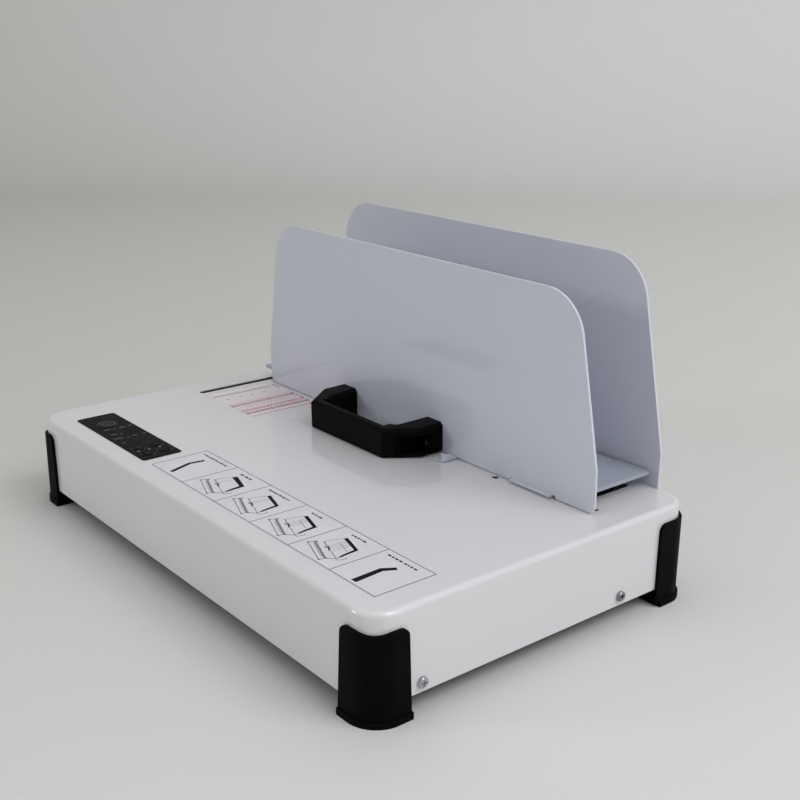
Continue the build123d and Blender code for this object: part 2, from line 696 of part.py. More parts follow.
# ---- handle ----
foot_out, foot_in = 52.8, 36.3
bar_half, bar_front, bar_back = 38.2, 37.4, 24.4
shoulder = 17.6
pocket_in = 41.0
foot_wall = 9.0
with BuildPart() as handle:
    with BuildSketch(plan_plane.offset(handle_low)):
        with BuildLine():
            Polyline(
                (-foot_out, 0),
                (-foot_out, -shoulder),
                (-bar_half, -bar_front),
                (bar_half, -bar_front),
                (foot_out, -shoulder),
                (foot_out, 0),
                (foot_in, 0),
                (foot_in - 1, -bar_back),
                (1 - foot_in, -bar_back),
                (-foot_in, 0),
                close=True,
            )
        make_face()
    extrude(amount=handle_high - handle_low)
    upright = handle.edges().filter_by(Axis((0, 0, 0), plate_up))
    fillet(upright.filter_by(lambda e: e.center().Y < front_face_y - 8), 3.0)
    clear_of_plate = handle.edges().filter_by(lambda e: e.center().Y < front_face_y - 3)
    chamfer(clear_of_plate.group_by(Axis((0, 0, 0), plate_up))[-1], 2.0)
    # the back of the grip slopes away from its narrow top
    bar_section = Plane(
        origin=(handle_x, front_face_y, plate_low), x_dir=(0, cos(lean), sin(lean)), z_dir=(1, 0, 0)
    )
    with BuildSketch(bar_section):
        with BuildLine():
            Polyline((1 - bar_back, 11), (1 - bar_back, 20), (-bar_back - 7.5, 20), close=True)
        make_face()
    extrude(amount=foot_in - 3.5, both=True, mode=Mode.SUBTRACT)
    # screw pockets in the outer sides of both legs
    with BuildSketch(plan_plane.offset(3.2)):
        with Locations((-pocket_in - 10, -foot_wall - 11), (pocket_in + 10, -foot_wall - 11)):
            Rectangle(20, 22)
    extrude(amount=11.6, mode=Mode.SUBTRACT)
    with BuildSketch(face_plane):
        with Locations(*[(x, screw_dz) for x in handle_screw_xs]):
            Circle(screw_bore_r)
    extrude(amount=foot_wall + 1, mode=Mode.SUBTRACT)
write(handle, "handle")

up = Vector(*plate_up)
out = Vector(*plate_front)
nut_t = 3.0
handle_screws = []
clinch_nuts = []
for screw_x in handle_screw_xs:
    seat = Vector(screw_x, front_face_y, plate_low) + up * screw_dz
    head_at = seat + out * foot_wall
    handle_screws.append(
        pan_screw(Plane(origin=head_at, z_dir=-out), 3.2, 2.4, screw_r, foot_wall + sheet + nut_t - 0.4)
    )
    with BuildPart() as clinch_nut:
        with BuildSketch(Plane(origin=seat - out * sheet, x_dir=(1, 0, 0), z_dir=-out)):
            RegularPolygon(3.2, 6)
            Circle(screw_r + 0.04, mode=Mode.SUBTRACT)
        extrude(amount=nut_t)
    clinch_nuts.append(clinch_nut)
write_group(handle_screws, "handle_screws")
write_group(clinch_nuts, "clinch_nuts")

ear_left, ear_right, ear_front, ear_top = 47.0, 55.2, 41.2, 66.0
with BuildPart() as handle_bracket:
    with BuildSketch(Plane.XY.offset(plate_low)):
        with Locations(((ear_left + ear_right) / 2, (ear_front + front_face_y) / 2 - 0.2)):
            Rectangle(ear_right - ear_left, front_face_y - ear_front - 0.4)
    extrude(amount=1.0)
    with BuildSketch(Plane(origin=(ear_right, 0, plate_low), x_dir=(0, 1, 0), z_dir=(1, 0, 0))):
        with BuildLine():
            Polyline(
                (ear_front, 0),
                (front_face_y - 0.4, 0),
                (front_face_y - 0.4, 1.0),
                (ear_front + 1.5, ear_top - plate_low),
                (ear_front, ear_top - plate_low),
                close=True,
            )
        make_face()
    extrude(amount=-1.0)
write(handle_bracket, "handle_bracket")

# ---- clamp carriage: heated platen and its tray ----
standoff_places = [(x, y) for x in (-157.0, 141.0) for y in (64.0, 104.0)]
riser_specs = {
    "riser_left": (-162.0, 1, 60.0, 76.0),
    "riser_right": (146.4, -1, 95.4, 103.4),
}
riser_t, riser_flange, riser_rivet_in = 1.6, 12.0, 9.0
riser_rivet_places = [
    (x + toward * riser_rivet_in, (front + back) / 2) for x, toward, front, back in riser_specs.values()
]
standoff_r, standoff_pin_r = 3.0, 1.5
platen_low = platen_top - platen_t
with BuildPart() as platen:
    with BuildSketch(Plane.XY.offset(platen_low)):
        with Locations(((platen_left + platen_right) / 2, (platen_front + platen_back) / 2)):
            RectangleRounded(platen_right - platen_left, platen_back - platen_front, 1)
        with Locations(((heated_left + heated_right) / 2, platen_back - platen_notch / 2)):
            Rectangle(heated_right - heated_left, platen_notch, mode=Mode.SUBTRACT)
        with Locations(*[(x, platen_front) for x in handle_screw_xs]):
            Rectangle(8.0, 7.0, mode=Mode.SUBTRACT)
    extrude(amount=platen_t)
    fillet(platen.faces().sort_by(Axis.Z)[-1].edges(), 0.4)
    with BuildSketch(Plane.XY.offset(platen_low)):
        with Locations(*standoff_places):
            Circle(standoff_pin_r)
    extrude(amount=1.2, mode=Mode.SUBTRACT)
write(platen, "platen")

with BuildPart() as carriage_tray:
    with BuildSketch(Plane.XY.offset(tray_z)):
        with Locations((-7.8, 84.0)):
            Rectangle(310.4, 51.0)
        with Locations(*standoff_places):
            Circle(standoff_pin_r, mode=Mode.SUBTRACT)
        with Locations(*[(x, rivet_y) for x in rivet_xs]):
            Circle(rivet_r, mode=Mode.SUBTRACT)
        with Locations(*riser_rivet_places):
            Circle(rivet_r, mode=Mode.SUBTRACT)
    extrude(amount=tray_t)
write(carriage_tray, "carriage_tray")

with BuildPart() as platen_standoffs:
    for post_x, post_y in standoff_places:
        with BuildSketch(Plane.XY.offset(tray_z)):
            with Locations((post_x, post_y)):
                Circle(standoff_pin_r)
        extrude(amount=platen_low + 1.2 - tray_z)
        with BuildSketch(Plane.XY.offset(tray_z + tray_t)):
            with Locations((post_x, post_y)):
                Circle(standoff_r)
        extrude(amount=platen_low - tray_z - tray_t)
write(platen_standoffs, "platen_standoffs")

insulation_z = tray_z + tray_t
heater_z = insulation_z + insulation_t
stack_y, stack_w = 84.5, 44.0
pockets = ((-60.0, 84.5, 30.0, 6.4), (40.0, 84.5, 24.0, 6.4))
with BuildPart() as insulation_board:
    with BuildSketch(Plane.XY.offset(insulation_z)):
        with Locations(((heated_left + heated_right) / 2, stack_y)):
            Rectangle(heated_right - heated_left, stack_w)
        for pocket_x, pocket_y, pocket_l, pocket_w in pockets:
            with Locations((pocket_x, pocket_y)):
                Rectangle(pocket_l, pocket_w, mode=Mode.SUBTRACT)
    extrude(amount=insulation_t)
write(insulation_board, "insulation_board")

with BuildPart() as heater_element:
    with BuildSketch(Plane.XY.offset(heater_z)):
        with Locations(((heated_left + heated_right) / 2, stack_y)):
            Rectangle(heated_right - heated_left - 2, stack_w - 2)
    extrude(amount=heater_t)
write(heater_element, "heater_element")

devices = ((pockets[0], "temperature_sensor", 1.4), (pockets[1], "thermal_fuse", 1.45))
for device, device_name, device_r in devices:
    with BuildPart() as sensor:
        body_plane = Plane(origin=(device[0] - 9, device[1], heater_z - device_r), z_dir=(1, 0, 0))
        with BuildSketch(body_plane):
            Circle(device_r)
        extrude(amount=18)
        fillet(sensor.edges().filter_by(GeomType.CIRCLE), 0.5)
    write(sensor, device_name)

tray_rivets = []
for rivet_x in rivet_xs:
    with BuildPart() as rivet:
        with BuildSketch(Plane.XY.offset(plate_low)):
            with Locations((rivet_x, rivet_y)):
                Circle(rivet_r)
        extrude(amount=tray_z + tray_t - plate_low)
    tray_rivets.append(rivet)

# ---- clamp carriage: under the case top ----
carriage_left, carriage_right = -163.0, 148.0
carriage_front, carriage_back = 58.0, 104.0
lower_flange_z = carriage_z + carriage_t
block_l, block_w, block_h = block_size
block_screw_r, block_screw_dx = 1.45, 7.5
block_screw_places = [
    (x + dx, y) for x in rod_xs for y in block_ys for dx in (-block_screw_dx, block_screw_dx)
]
with BuildPart() as carriage_plate:
    with BuildSketch(Plane.XY.offset(carriage_z)):
        with Locations(((carriage_left + carriage_right) / 2, (carriage_front + carriage_back) / 2)):
            Rectangle(carriage_right - carriage_left, carriage_back - carriage_front)
        with Locations((-8, 81)):
            with GridLocations(58, 0, 4, 1):
                SlotOverall(44, 22, mode=Mode.SUBTRACT)
        with Locations(*riser_rivet_places):
            Circle(rivet_r, mode=Mode.SUBTRACT)
        with Locations(*block_screw_places):
            Circle(block_screw_r + 0.1, mode=Mode.SUBTRACT)
    extrude(amount=carriage_t)
write(carriage_plate, "carriage_plate")

riser_rivets = []
for riser_name, (riser_x, toward, riser_front, riser_back) in riser_specs.items():
    riser_mid = (riser_front + riser_back) / 2
    rivet_at = (riser_x + toward * riser_rivet_in, riser_mid)
    with BuildPart() as riser:
        with BuildSketch(Plane.XY.offset(lower_flange_z)):
            with Locations((riser_x, riser_mid)):
                Rectangle(riser_t, riser_back - riser_front)
        extrude(amount=tray_z - lower_flange_z)
        for flange_z, flange_t in ((lower_flange_z, riser_t), (plate_low, tray_z - plate_low)):
            with BuildSketch(Plane.XY.offset(flange_z)):
                with Locations((riser_x + toward * riser_flange / 2, riser_mid)):
                    Rectangle(riser_flange, riser_back - riser_front)
            extrude(amount=flange_t)
        with BuildSketch(Plane.XY.offset(lower_flange_z)):
            with Locations(rivet_at):
                Circle(rivet_r)
        extrude(amount=tray_z - lower_flange_z, mode=Mode.SUBTRACT)
    write(riser, riser_name)
    for rivet_low, rivet_high in ((carriage_z, lower_flange_z + riser_t), (plate_low, tray_z + tray_t)):
        with BuildPart() as riser_rivet:
            with BuildSketch(Plane.XY.offset(rivet_low)):
                with Locations(rivet_at):
                    Circle(rivet_r)
            extrude(amount=rivet_high - rivet_low)
        riser_rivets.append(riser_rivet)
write_group(riser_rivets, "riser_rivets")

bearing_blocks = []
bushings = []
for rod_x in rod_xs:
    for block_y in block_ys:
        bore_plane = Plane(origin=(rod_x, block_y - block_w / 2, rod_z), z_dir=(0, 1, 0))
        with BuildPart() as block:
            with BuildSketch(Plane.XY.offset(carriage_z - block_h)):
                with Locations((rod_x, block_y)):
                    Rectangle(block_l, block_w)
            extrude(amount=block_h)
            fillet(block.edges().filter_by(Axis.Y).group_by(Axis.Z)[0], 4)
            with BuildSketch(bore_plane):
                Circle(bushing_r)
            extrude(amount=block_w, mode=Mode.SUBTRACT)
            with BuildSketch(Plane.XY.offset(carriage_z)):
                with Locations((rod_x - block_screw_dx, block_y), (rod_x + block_screw_dx, block_y)):
                    Circle(block_screw_r)
            extrude(amount=-8.5, mode=Mode.SUBTRACT)
        bearing_blocks.append(block)
        with BuildPart() as bushing:
            with BuildSketch(bore_plane):
                Circle(bushing_r)
                Circle(rod_r + running_fit, mode=Mode.SUBTRACT)
            extrude(amount=block_w)
        bushings.append(bushing)
write_group(bearing_blocks, "bearing_blocks")
write_group(bushings, "bushings")
write_group(
    [
        pan_screw(screw_axis_plane(x, y, lower_flange_z, (0, 0, -1)), 2.6, 1.6, block_screw_r, 10)
        for x, y in block_screw_places
    ],
    "block_screws",
)
write_group(tray_rivets, "tray_rivets")

# ---- mains lead from the inlet to the terminal block, under the carriage ----
lead_r = 3.0
lead_route = [
    Vector(inlet_x, back_y - inlet_depth - 4.2, rear_port_z),
    Vector(inlet_x, 68.0, rear_port_z),
    Vector(52.0, 44.0, 21.0),
    Vector(terminal_x, 16.0, 27.0),
    Vector(terminal_x, terminal_y + 6.0, 27.0),
]
lead_radii = []
for before, corner, after in zip(lead_route, lead_route[1:], lead_route[2:]):
    turn = radians((corner - before).get_angle(after - corner))
    lead_radii.append(0.45 * min((corner - before).length, (after - corner).length) / tan(turn / 2))
print("mains lead bend radii", [round(r, 1) for r in lead_radii])
with BuildPart() as mains_lead:
    with BuildLine() as lead_line:
        FilletPolyline(*lead_route, radius=lead_radii)
    with BuildSketch(Plane(origin=lead_route[0], z_dir=lead_route[1] - lead_route[0])):
        Circle(lead_r)
    sweep()
lead_length = sum(edge.length for edge in lead_line.edges())
lead_section = pi * lead_r**2
print("mains lead length", round(lead_length, 1))
lead_ratio = mains_lead.part.volume / (lead_length * lead_section)
print("mains lead volume over section times length", round(lead_ratio, 4))
write(mains_lead, "mains_lead")
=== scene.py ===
"""Thermal binding machine: finishes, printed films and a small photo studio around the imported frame.

Lengths in the classes are millimetres in the machine's own frame: X right along the front, Y to the back,
Z up, with the origin at the middle of the footprint. They turn to metres where a mesh is made.
"""

import logging
from dataclasses import dataclass, field
from enum import Enum
from math import cos, pi, radians, sin
from typing import Any

import bmesh
import bpy
from mathutils import Matrix, Vector


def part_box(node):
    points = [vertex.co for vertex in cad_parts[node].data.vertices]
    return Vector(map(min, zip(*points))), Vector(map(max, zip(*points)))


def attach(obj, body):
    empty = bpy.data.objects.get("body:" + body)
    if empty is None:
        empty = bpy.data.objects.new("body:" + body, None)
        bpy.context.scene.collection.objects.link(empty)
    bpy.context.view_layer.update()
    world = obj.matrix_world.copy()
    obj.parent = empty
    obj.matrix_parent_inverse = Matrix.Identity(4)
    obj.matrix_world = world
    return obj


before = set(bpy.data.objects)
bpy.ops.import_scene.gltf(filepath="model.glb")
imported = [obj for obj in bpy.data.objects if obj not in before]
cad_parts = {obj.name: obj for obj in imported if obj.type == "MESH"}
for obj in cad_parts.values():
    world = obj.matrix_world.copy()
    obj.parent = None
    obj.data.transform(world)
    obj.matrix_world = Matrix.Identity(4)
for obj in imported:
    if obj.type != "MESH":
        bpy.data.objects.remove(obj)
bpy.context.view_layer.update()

LOG = logging.getLogger("binding_machine")
MM = 0.001

Point = tuple[float, float]
Node = bpy.types.Node
Socket = bpy.types.NodeSocket
Tree = bpy.types.NodeTree
Settings = dict[str | int, Any]
Links = dict[str | int, Socket]

# numbers of a colour mix's inputs and output
MIX_SHARE, MIX_FIRST, MIX_SECOND, MIX_RESULT = 0, 6, 7, 2


def linear(colour: str) -> tuple[float, float, float, float]:
    """Turn an sRGB hex colour into a linear one.

    Args:
        colour: The colour as "#RRGGBB".

    Returns:
        Linear red, green and blue, and an alpha of 1.
    """
    channels = [int(colour[i : i + 2], 16) / 255 for i in (1, 3, 5)]
    red, green, blue = [c / 12.92 if c <= 0.04045 else ((c + 0.055) / 1.055) ** 2.4 for c in channels]
    return red, green, blue, 1.0


def per_metre(size: float) -> float:
    """Texture scale for a pattern whose repeat is this many millimetres."""
    return 1 / (size * MM)


def circle(centre: Point, radius: float, sides: int) -> list[Point]:
    """Points of a circle, counter-clockwise from its right side."""
    turns = [2 * pi * i / sides for i in range(sides)]
    return [(centre[0] + radius * cos(t), centre[1] + radius * sin(t)) for t in turns]


def add_node(tree: Tree, kind: str, settings: Settings, links: Links | None = None) -> Node:
    """Add one node with its settings and links.

    Args:
        tree: The node tree that gets the node.
        kind: The node's type name.
        settings: Values by input name or number, or by the node's own attribute.
        links: Sockets that feed the inputs of these names or numbers.

    Returns:
        The new node.
    """
    node = tree.nodes.new(kind)
    for key, value in settings.items():
        if isinstance(key, str) and hasattr(node, key):
            setattr(node, key, value)
        else:
            node.inputs[key].default_value = value
    for key, socket in (links or {}).items():
        tree.links.new(socket, node.inputs[key])
    return node


@dataclass(frozen=True)
class Finish:
    """What all finishes share: a name, a colour and a mean roughness."""

    name: str
    colour: str
    roughness: float

    def start(self, **shader_values: float) -> tuple[Tree, Node, Socket]:
        """Make the material with its fixed shader values.

        Args:
            **shader_values: Shader inputs by name, with spaces as underscores.

        Returns:
            The node tree, the shader and the position socket in metres.
        """
        material = bpy.data.materials.new(self.name)
        material.use_nodes = True
        tree = material.node_tree
        tree.nodes.clear()
        values = {name.replace("_", " "): value for name, value in shader_values.items()}
        base = {"Base Color": linear(self.colour), "Roughness": self.roughness}
        shader = add_node(tree, "ShaderNodeBsdfPrincipled", base | values)
        add_node(tree, "ShaderNodeOutputMaterial", {}, {"Surface": shader.outputs["BSDF"]})
        place = add_node(tree, "ShaderNodeTexCoord", {})
        return tree, shader, place.outputs["Object"]

    def noise(self, tree: Tree, place: Socket, size: float, detail: float = 2.0) -> Socket:
        """Soft noise whose patches are about this many millimetres across."""
        settings = {"Scale": per_metre(size), "Detail": detail, "Roughness": 0.55}
        return add_node(tree, "ShaderNodeTexNoise", settings, {"Vector": place}).outputs["Fac"]

    def spread(
        self, tree: Tree, value: Socket, low: float, high: float, lowest: float, highest: float
    ) -> Socket:
        """Stretch a pattern's range.

        Args:
            tree: The node tree.
            value: The pattern.
            low: The pattern's value that gives the lowest result.
            high: The pattern's value that gives the highest result.
            lowest: The lowest result.
            highest: The highest result.

        Returns:
            The stretched pattern.
        """
        settings = {"From Min": low, "From Max": high, "To Min": lowest, "To Max": highest}
        return add_node(tree, "ShaderNodeMapRange", settings, {"Value": value}).outputs["Result"]

    def blend(self, tree: Tree, share: Socket, first: str, second: str) -> Socket:
        """Mix two hex colours by a pattern and return the colour socket."""
        settings = {"data_type": "RGBA", MIX_FIRST: linear(first), MIX_SECOND: linear(second)}
        return add_node(tree, "ShaderNodeMix", settings, {MIX_SHARE: share}).outputs[MIX_RESULT]

    def relief(self, tree: Tree, shader: Node, height: Socket, depth: float, strength: float) -> None:
        """Let a pattern stand out of the surface.

        Args:
            tree: The node tree.
            shader: The shader whose normal is bent.
            height: The pattern.
            depth: How far it stands out, in millimetres.
            strength: The share of the relief that shows.
        """
        settings = {"Distance": depth * MM, "Strength": strength}
        bump = add_node(tree, "ShaderNodeBump", settings, {"Height": height})
        tree.links.new(bump.outputs["Normal"], shader.inputs["Normal"])


@dataclass(frozen=True)
class PowderCoat(Finish):
    """Polyester powder baked on steel sheet: an even glossy skin over metal that is never quite flat.

    It gives the eye soft mirror images that waver a little, and a hint of thicker and thinner coat.
    """

    thin_colour: str
    patch: float = 90.0
    wave: float = 60.0  # the sheet's own waviness, from folding and welding
    wave_depth: float = 0.08
    peel: float = 2.2  # orange peel is really 0.5 to 1; drawn coarser, so that it shows
    peel_depth: float = 0.0012
    gloss: float = 0.9
    clear_roughness: float = 0.05  # of the glossy skin itself
    uneven: float = 0.06  # how far the roughness under it strays

    def make(self) -> bpy.types.Material:
        """Build the coat's material.

        Returns:
            The material.
        """
        tree, shader, place = self.start(Coat_Weight=self.gloss, Coat_Roughness=self.clear_roughness)
        patches = self.noise(tree, place, self.patch, detail=0.0)
        tree.links.new(self.blend(tree, patches, self.colour, self.thin_colour), shader.inputs["Base Color"])
        low, high = self.roughness - self.uneven, self.roughness + self.uneven
        tree.links.new(self.spread(tree, patches, 0.0, 1.0, low, high), shader.inputs["Roughness"])
        links = {"Height": self.noise(tree, place, self.wave, detail=0.0)}
        wave = add_node(tree, "ShaderNodeBump", {"Distance": self.wave_depth * MM}, links)
        links = {"Height": self.noise(tree, place, self.peel, detail=0.0), "Normal": wave.outputs["Normal"]}
        peel = add_node(tree, "ShaderNodeBump", {"Distance": self.peel_depth * MM}, links)
        tree.links.new(peel.outputs["Normal"], shader.inputs["Normal"])
        tree.links.new(peel.outputs["Normal"], shader.inputs["Coat Normal"])
        return bpy.data.materials[self.name]


@dataclass(frozen=True)
class Moulded(Finish):
    """Moulded rubber or plastic: an even colour and the fine grain of the mould's wall.

    It gives the eye a soft sheen, broken by the grain, and paler rubbed patches where hands and tables touch.
    """

    rubbed_colour: str
    grain: float = 0.9  # spark-eroded moulds have 0.1 to 0.3; drawn coarser, so that it shows
    grain_depth: float = 0.03
    rub: float = 34.0
    specular: float = 0.5
    rubbed_range: tuple[float, float] = (0.52, 0.72)  # only the pattern's peaks are rubbed
    polish: float = 0.1  # how much smoother a rubbed patch is
    grain_strength: float = 0.6

    def make(self) -> bpy.types.Material:
        """Build the moulding's material.

        Returns:
            The material.
        """
        tree, shader, place = self.start(Specular_IOR_Level=self.specular)
        rubs = self.noise(tree, place, self.rub, detail=5.0)
        rubbed = self.spread(tree, rubs, *self.rubbed_range, 0.0, 1.0)
        tree.links.new(self.blend(tree, rubbed, self.colour, self.rubbed_colour), shader.inputs["Base Color"])
        gloss = self.spread(tree, rubbed, 0.0, 1.0, self.roughness, self.roughness - self.polish)
        tree.links.new(gloss, shader.inputs["Roughness"])
        settings = {"Scale": per_metre(self.grain), "Randomness": 1.0}
        grain = add_node(tree, "ShaderNodeTexVoronoi", settings, {"Vector": place})
        self.relief(tree, shader, grain.outputs["Distance"], self.grain_depth, self.grain_strength)
        return bpy.data.materials[self.name]


@dataclass(frozen=True)
class Plated(Finish):
    """Zinc plate, black oxide or bare ground metal.

    It gives the eye sharp small highlights, with the drawing or grinding marks running one way.
    """

    dullness_and_reflection_colour: str
    mark: float = 0.25  # spacing of the drawing marks
    mark_depth: float = 0.004
    along: tuple[float, float, float] = (0.04, 1.0, 1.0)
    cloud: float = 5.0  # size of the dull clouds; on bright zinc their dark colour is a painted reflection
    cloud_range: tuple[float, float] = (0.35, 0.7)
    dulling: float = 0.12  # how much rougher a cloud is
    mark_strength: float = 0.5

    def make(self) -> bpy.types.Material:
        """Build the metal's material.

        Returns:
            The material.
        """
        tree, shader, place = self.start(Metallic=1.0)
        stretched = add_node(tree, "ShaderNodeMapping", {"Scale": self.along}, {"Vector": place})
        marks = self.noise(tree, stretched.outputs["Vector"], self.mark, detail=1.0)
        clouds = self.noise(tree, place, self.cloud, detail=3.0)
        clouds = self.spread(tree, clouds, *self.cloud_range, 0.0, 1.0)
        # the clouds are duller; on bright zinc their dark colour also paints in reflections of dark
        # surroundings
        tree.links.new(self.blend(tree, clouds, self.colour, self.dullness_and_reflection_colour), shader.inputs["Base Color"])
        gloss = self.spread(tree, clouds, 0.0, 1.0, self.roughness, self.roughness + self.dulling)
        tree.links.new(gloss, shader.inputs["Roughness"])
        self.relief(tree, shader, marks, self.mark_depth, self.mark_strength)
        return bpy.data.materials[self.name]


@dataclass(frozen=True)
class Film(Finish):
    """Printed polyester film or its ink.

    It gives the eye a flat even colour with a velvet finish that is duller than the coat around it.
    """

    faded_colour: str
    specular: float = 0.5
    velvet: float = 0.5  # film texture of 0.05 to 0.1; drawn coarser, so that it shows
    velvet_depth: float = 0.004
    velvet_strength: float = 0.6
    fade: float = 11.0  # size of the faded patches
    fade_range: tuple[float, float] = (0.35, 0.65)
    uneven: float = 0.04  # how far the roughness strays

    def make(self) -> bpy.types.Material:
        """Build the film's material.

        Returns:
            The material.
        """
        tree, shader, place = self.start(Specular_IOR_Level=self.specular)
        fade = self.noise(tree, place, self.fade, detail=4.0)
        fade = self.spread(tree, fade, *self.fade_range, 0.0, 1.0)
        tree.links.new(self.blend(tree, fade, self.colour, self.faded_colour), shader.inputs["Base Color"])
        low, high = self.roughness - self.uneven, self.roughness + self.uneven
        tree.links.new(self.spread(tree, fade, 0.0, 1.0, low, high), shader.inputs["Roughness"])
        texture = self.noise(tree, place, self.velvet, detail=1.0)
        self.relief(tree, shader, texture, self.velvet_depth, self.velvet_strength)
        return bpy.data.materials[self.name]


@dataclass(frozen=True)
class Laminate(Finish):
    """Glass-epoxy circuit board, or pressed mica and fibre board, with its weave or flakes.

    It gives the eye a woven or flaky grain under a thin lacquer, with paler lands on a circuit board.
    """

    land_colour: str
    weave: float = 0.9
    land: float = 7.0
    land_edge: tuple[float, float] = (0.28, 0.34)
    weave_depth: float = 0.02
    weave_strength: float = 0.5

    def make(self) -> bpy.types.Material:
        """Build the board's material.

        Returns:
            The material.
        """
        tree, shader, place = self.start()
        settings = {"Scale": per_metre(self.land), "distance": "CHEBYCHEV", "Randomness": 0.8}
        lands = add_node(tree, "ShaderNodeTexVoronoi", settings, {"Vector": place})
        share = self.spread(tree, lands.outputs["Distance"], *self.land_edge, 1.0, 0.0)
        tree.links.new(self.blend(tree, share, self.colour, self.land_colour), shader.inputs["Base Color"])
        weave = self.noise(tree, place, self.weave, detail=0.0)
        self.relief(tree, shader, weave, self.weave_depth, self.weave_strength)
        return bpy.data.materials[self.name]


class Coat(Enum):
    """The machine's painted and printed finishes."""

    # white polyester powder on the folded case: glossy, with mirror images of what stands on it
    CASE = PowderCoat("powder_coat_case_white", "#DADADD", 0.3, "#D5D5D9")
    # the plates have a slightly bluer powder, on flatter sheet
    PLATE = PowderCoat("powder_coat_plate_white", "#CDD0DC", 0.26, "#C9CCD8", 120.0, 80.0)
    # black coat on the base, never seen from above; its black also paints in the shade under the case's lower
    # edge
    BASE = PowderCoat("base_black_coat_painted_shade", "#1A1A1C", 0.45, "#202022", gloss=0.1)
    # the platen's hard coat against glue, drawn a duller blue-grey that paints in the shade falling on it
    # between the plates
    PLATEN = PowderCoat("platen_grey_painted_shade", "#9EA5B2", 0.34, "#9AA1AE", 40.0, gloss=0.2)
    # printed labels: white, and a blush of rose, both flat and duller than the coat
    LABEL = Film("polyester_label_white", "#D6D7DD", 0.34, "#D2D3D9")
    SCALE = Film("polyester_label_blush", "#E3DBDE", 0.36, "#E0D7DB")
    # the panel's film: black and so dull that it mirrors almost nothing
    PANEL = Film("polyester_panel_black", "#09090A", 0.45, "#0D0D0E", 0.05)
    # screen-printed inks, thin, even and matt: the black ones, then greys, then the panel's, then the scale's
    INK_BLACK = Film("screen_ink_black", "#060607", 0.5, "#0C0C0D", 0.08)
    INK_LINE = Film("screen_ink_line_black", "#2A2A2D", 0.5, "#37373A", 0.15)
    INK_SOFT = Film("screen_ink_outline_black", "#424246", 0.5, "#4C4C50", 0.15)
    INK_GREY = Film("screen_ink_grey", "#6E6F73", 0.5, "#7C7D81", 0.2)
    INK_FAINT = Film("screen_ink_faint_grey", "#A9A6AB", 0.5, "#B2AEB3", 0.2)
    INK_PANEL = Film("screen_ink_panel_grey", "#57575A", 0.5, "#4C4C4F", 0.1)
    INK_PANEL_DIM = Film("screen_ink_panel_dark", "#2B2B2D", 0.5, "#252527", 0.08)
    INK_PANEL_BRIGHT = Film("screen_ink_panel_white", "#9A9A9C", 0.5, "#8E8E90", 0.1)
    INK_ROSE = Film("screen_ink_rose", "#C98F9E", 0.5, "#D2A2AE", 0.2)
    INK_PLUM = Film("screen_ink_plum", "#6F4652", 0.5, "#8A6470", 0.2)


class Mould(Enum):
    """The machine's rubber and plastic mouldings."""

    # nitrile rubber, injection moulded: deep black, satin, rubbed grey where it scuffs
    BUMPER = Moulded("nitrile_rubber_black", "#060607", 0.55, "#09090A", 1.1, 0.02, 42.0, 0.04)
    # glass-filled nylon, spark-eroded mould: black with a fine dry grain
    HANDLE = Moulded("nylon_black", "#050506", 0.5, "#08080A", 0.8, 0.02, 28.0, 0.05)
    # silicone caps under the same black as the panel, a little worn on top
    KEY_DARK = Moulded("silicone_key_black", "#0A0A0B", 0.5, "#0D0D0E", 0.7, 0.006, 9.0, 0.05)
    KEY_GREY = Moulded("silicone_key_charcoal", "#1C1C1E", 0.5, "#222224", 0.7, 0.006, 9.0, 0.05)
    # polycarbonate of the inlet and switch: satin from the mould, and polished on the rocker
    PORT = Moulded("polycarbonate_black", "#121213", 0.35, "#19191A", 0.6, 0.02, 18.0)
    ROCKER = Moulded("polycarbonate_gloss_black", "#0F0F10", 0.2, "#161617", 1.4, 0.004, 12.0)
    # epoxy mouldings of relay, buzzer and key switches: dull dark grey
    CHIP = Moulded("epoxy_moulding_black", "#1B1B1C", 0.5, "#242425", 0.5, 0.02, 12.0)
    # extruded PVC of the mains lead: smooth satin black
    SHEATH = Moulded("pvc_sheath_black", "#111112", 0.4, "#1A1A1B", 1.2, 0.02, 14.0)
    # unfilled nylon of posts and terminals: milky and waxy
    NYLON = Moulded("nylon_natural", "#D9D5C6", 0.45, "#CFCAB8", 0.9, 0.015, 16.0)
    # cast epoxy of the indicator lights: pale and glassy
    LENS = Moulded("epoxy_lens_clear", "#C9C8C2", 0.15, "#BDBCB6", 2.0, 0.003, 6.0)
    # shrunk PVC on the capacitors: glossy dark blue
    SLEEVE = Moulded("pvc_sleeve_blue", "#1D2A4A", 0.28, "#24335A", 1.5, 0.01, 10.0)
    # polyester tape wound round the transformer: amber with faint ridges
    WINDING = Moulded("polyester_tape_amber", "#8A6A2E", 0.35, "#7A5C26", 2.4, 0.04, 12.0)


class Metal(Enum):
    """The machine's bare and plated metals."""

    # bright zinc on pan heads: mirror-like, with dark clouds that are painted reflections of dark
    # surroundings
    ZINC = Plated("zinc_plate_bright", "#D6D8DA", 0.16, "#6A6C70")
    # zinc-coated sheet of the hidden brackets: a dull, cloudy mirror
    SHEET = Plated("zinc_plate_sheet", "#B4B7BA", 0.34, "#9EA1A5", 0.6, 0.006)
    # black oxide on the handle's screws: dark with soft highlights
    OXIDE = Plated("black_oxide_steel", "#2A2A2C", 0.35, "#1C1C1E")
    # ground rods, with their marks running round: a near mirror drawn out along the rod
    ROD = Plated("ground_steel", "#C6C8CA", 0.12, "#B6B8BB", 0.3, 0.002, (1.0, 0.04, 1.0))
    # milled aluminium, sintered bronze, brass pins and drawn steel cans
    BLOCK = Plated("milled_aluminium", "#C3C5C7", 0.3, "#B2B5B8", 0.8, 0.006)
    BRONZE = Plated("sintered_bronze", "#A88452", 0.42, "#8E6C40", 0.5, 0.01, (1.0, 1.0, 1.0))
    BRASS = Plated("brass_pin", "#D2B774", 0.2, "#B99A58")
    CAN = Plated("drawn_steel_can", "#B8BABD", 0.24, "#A4A7AA")


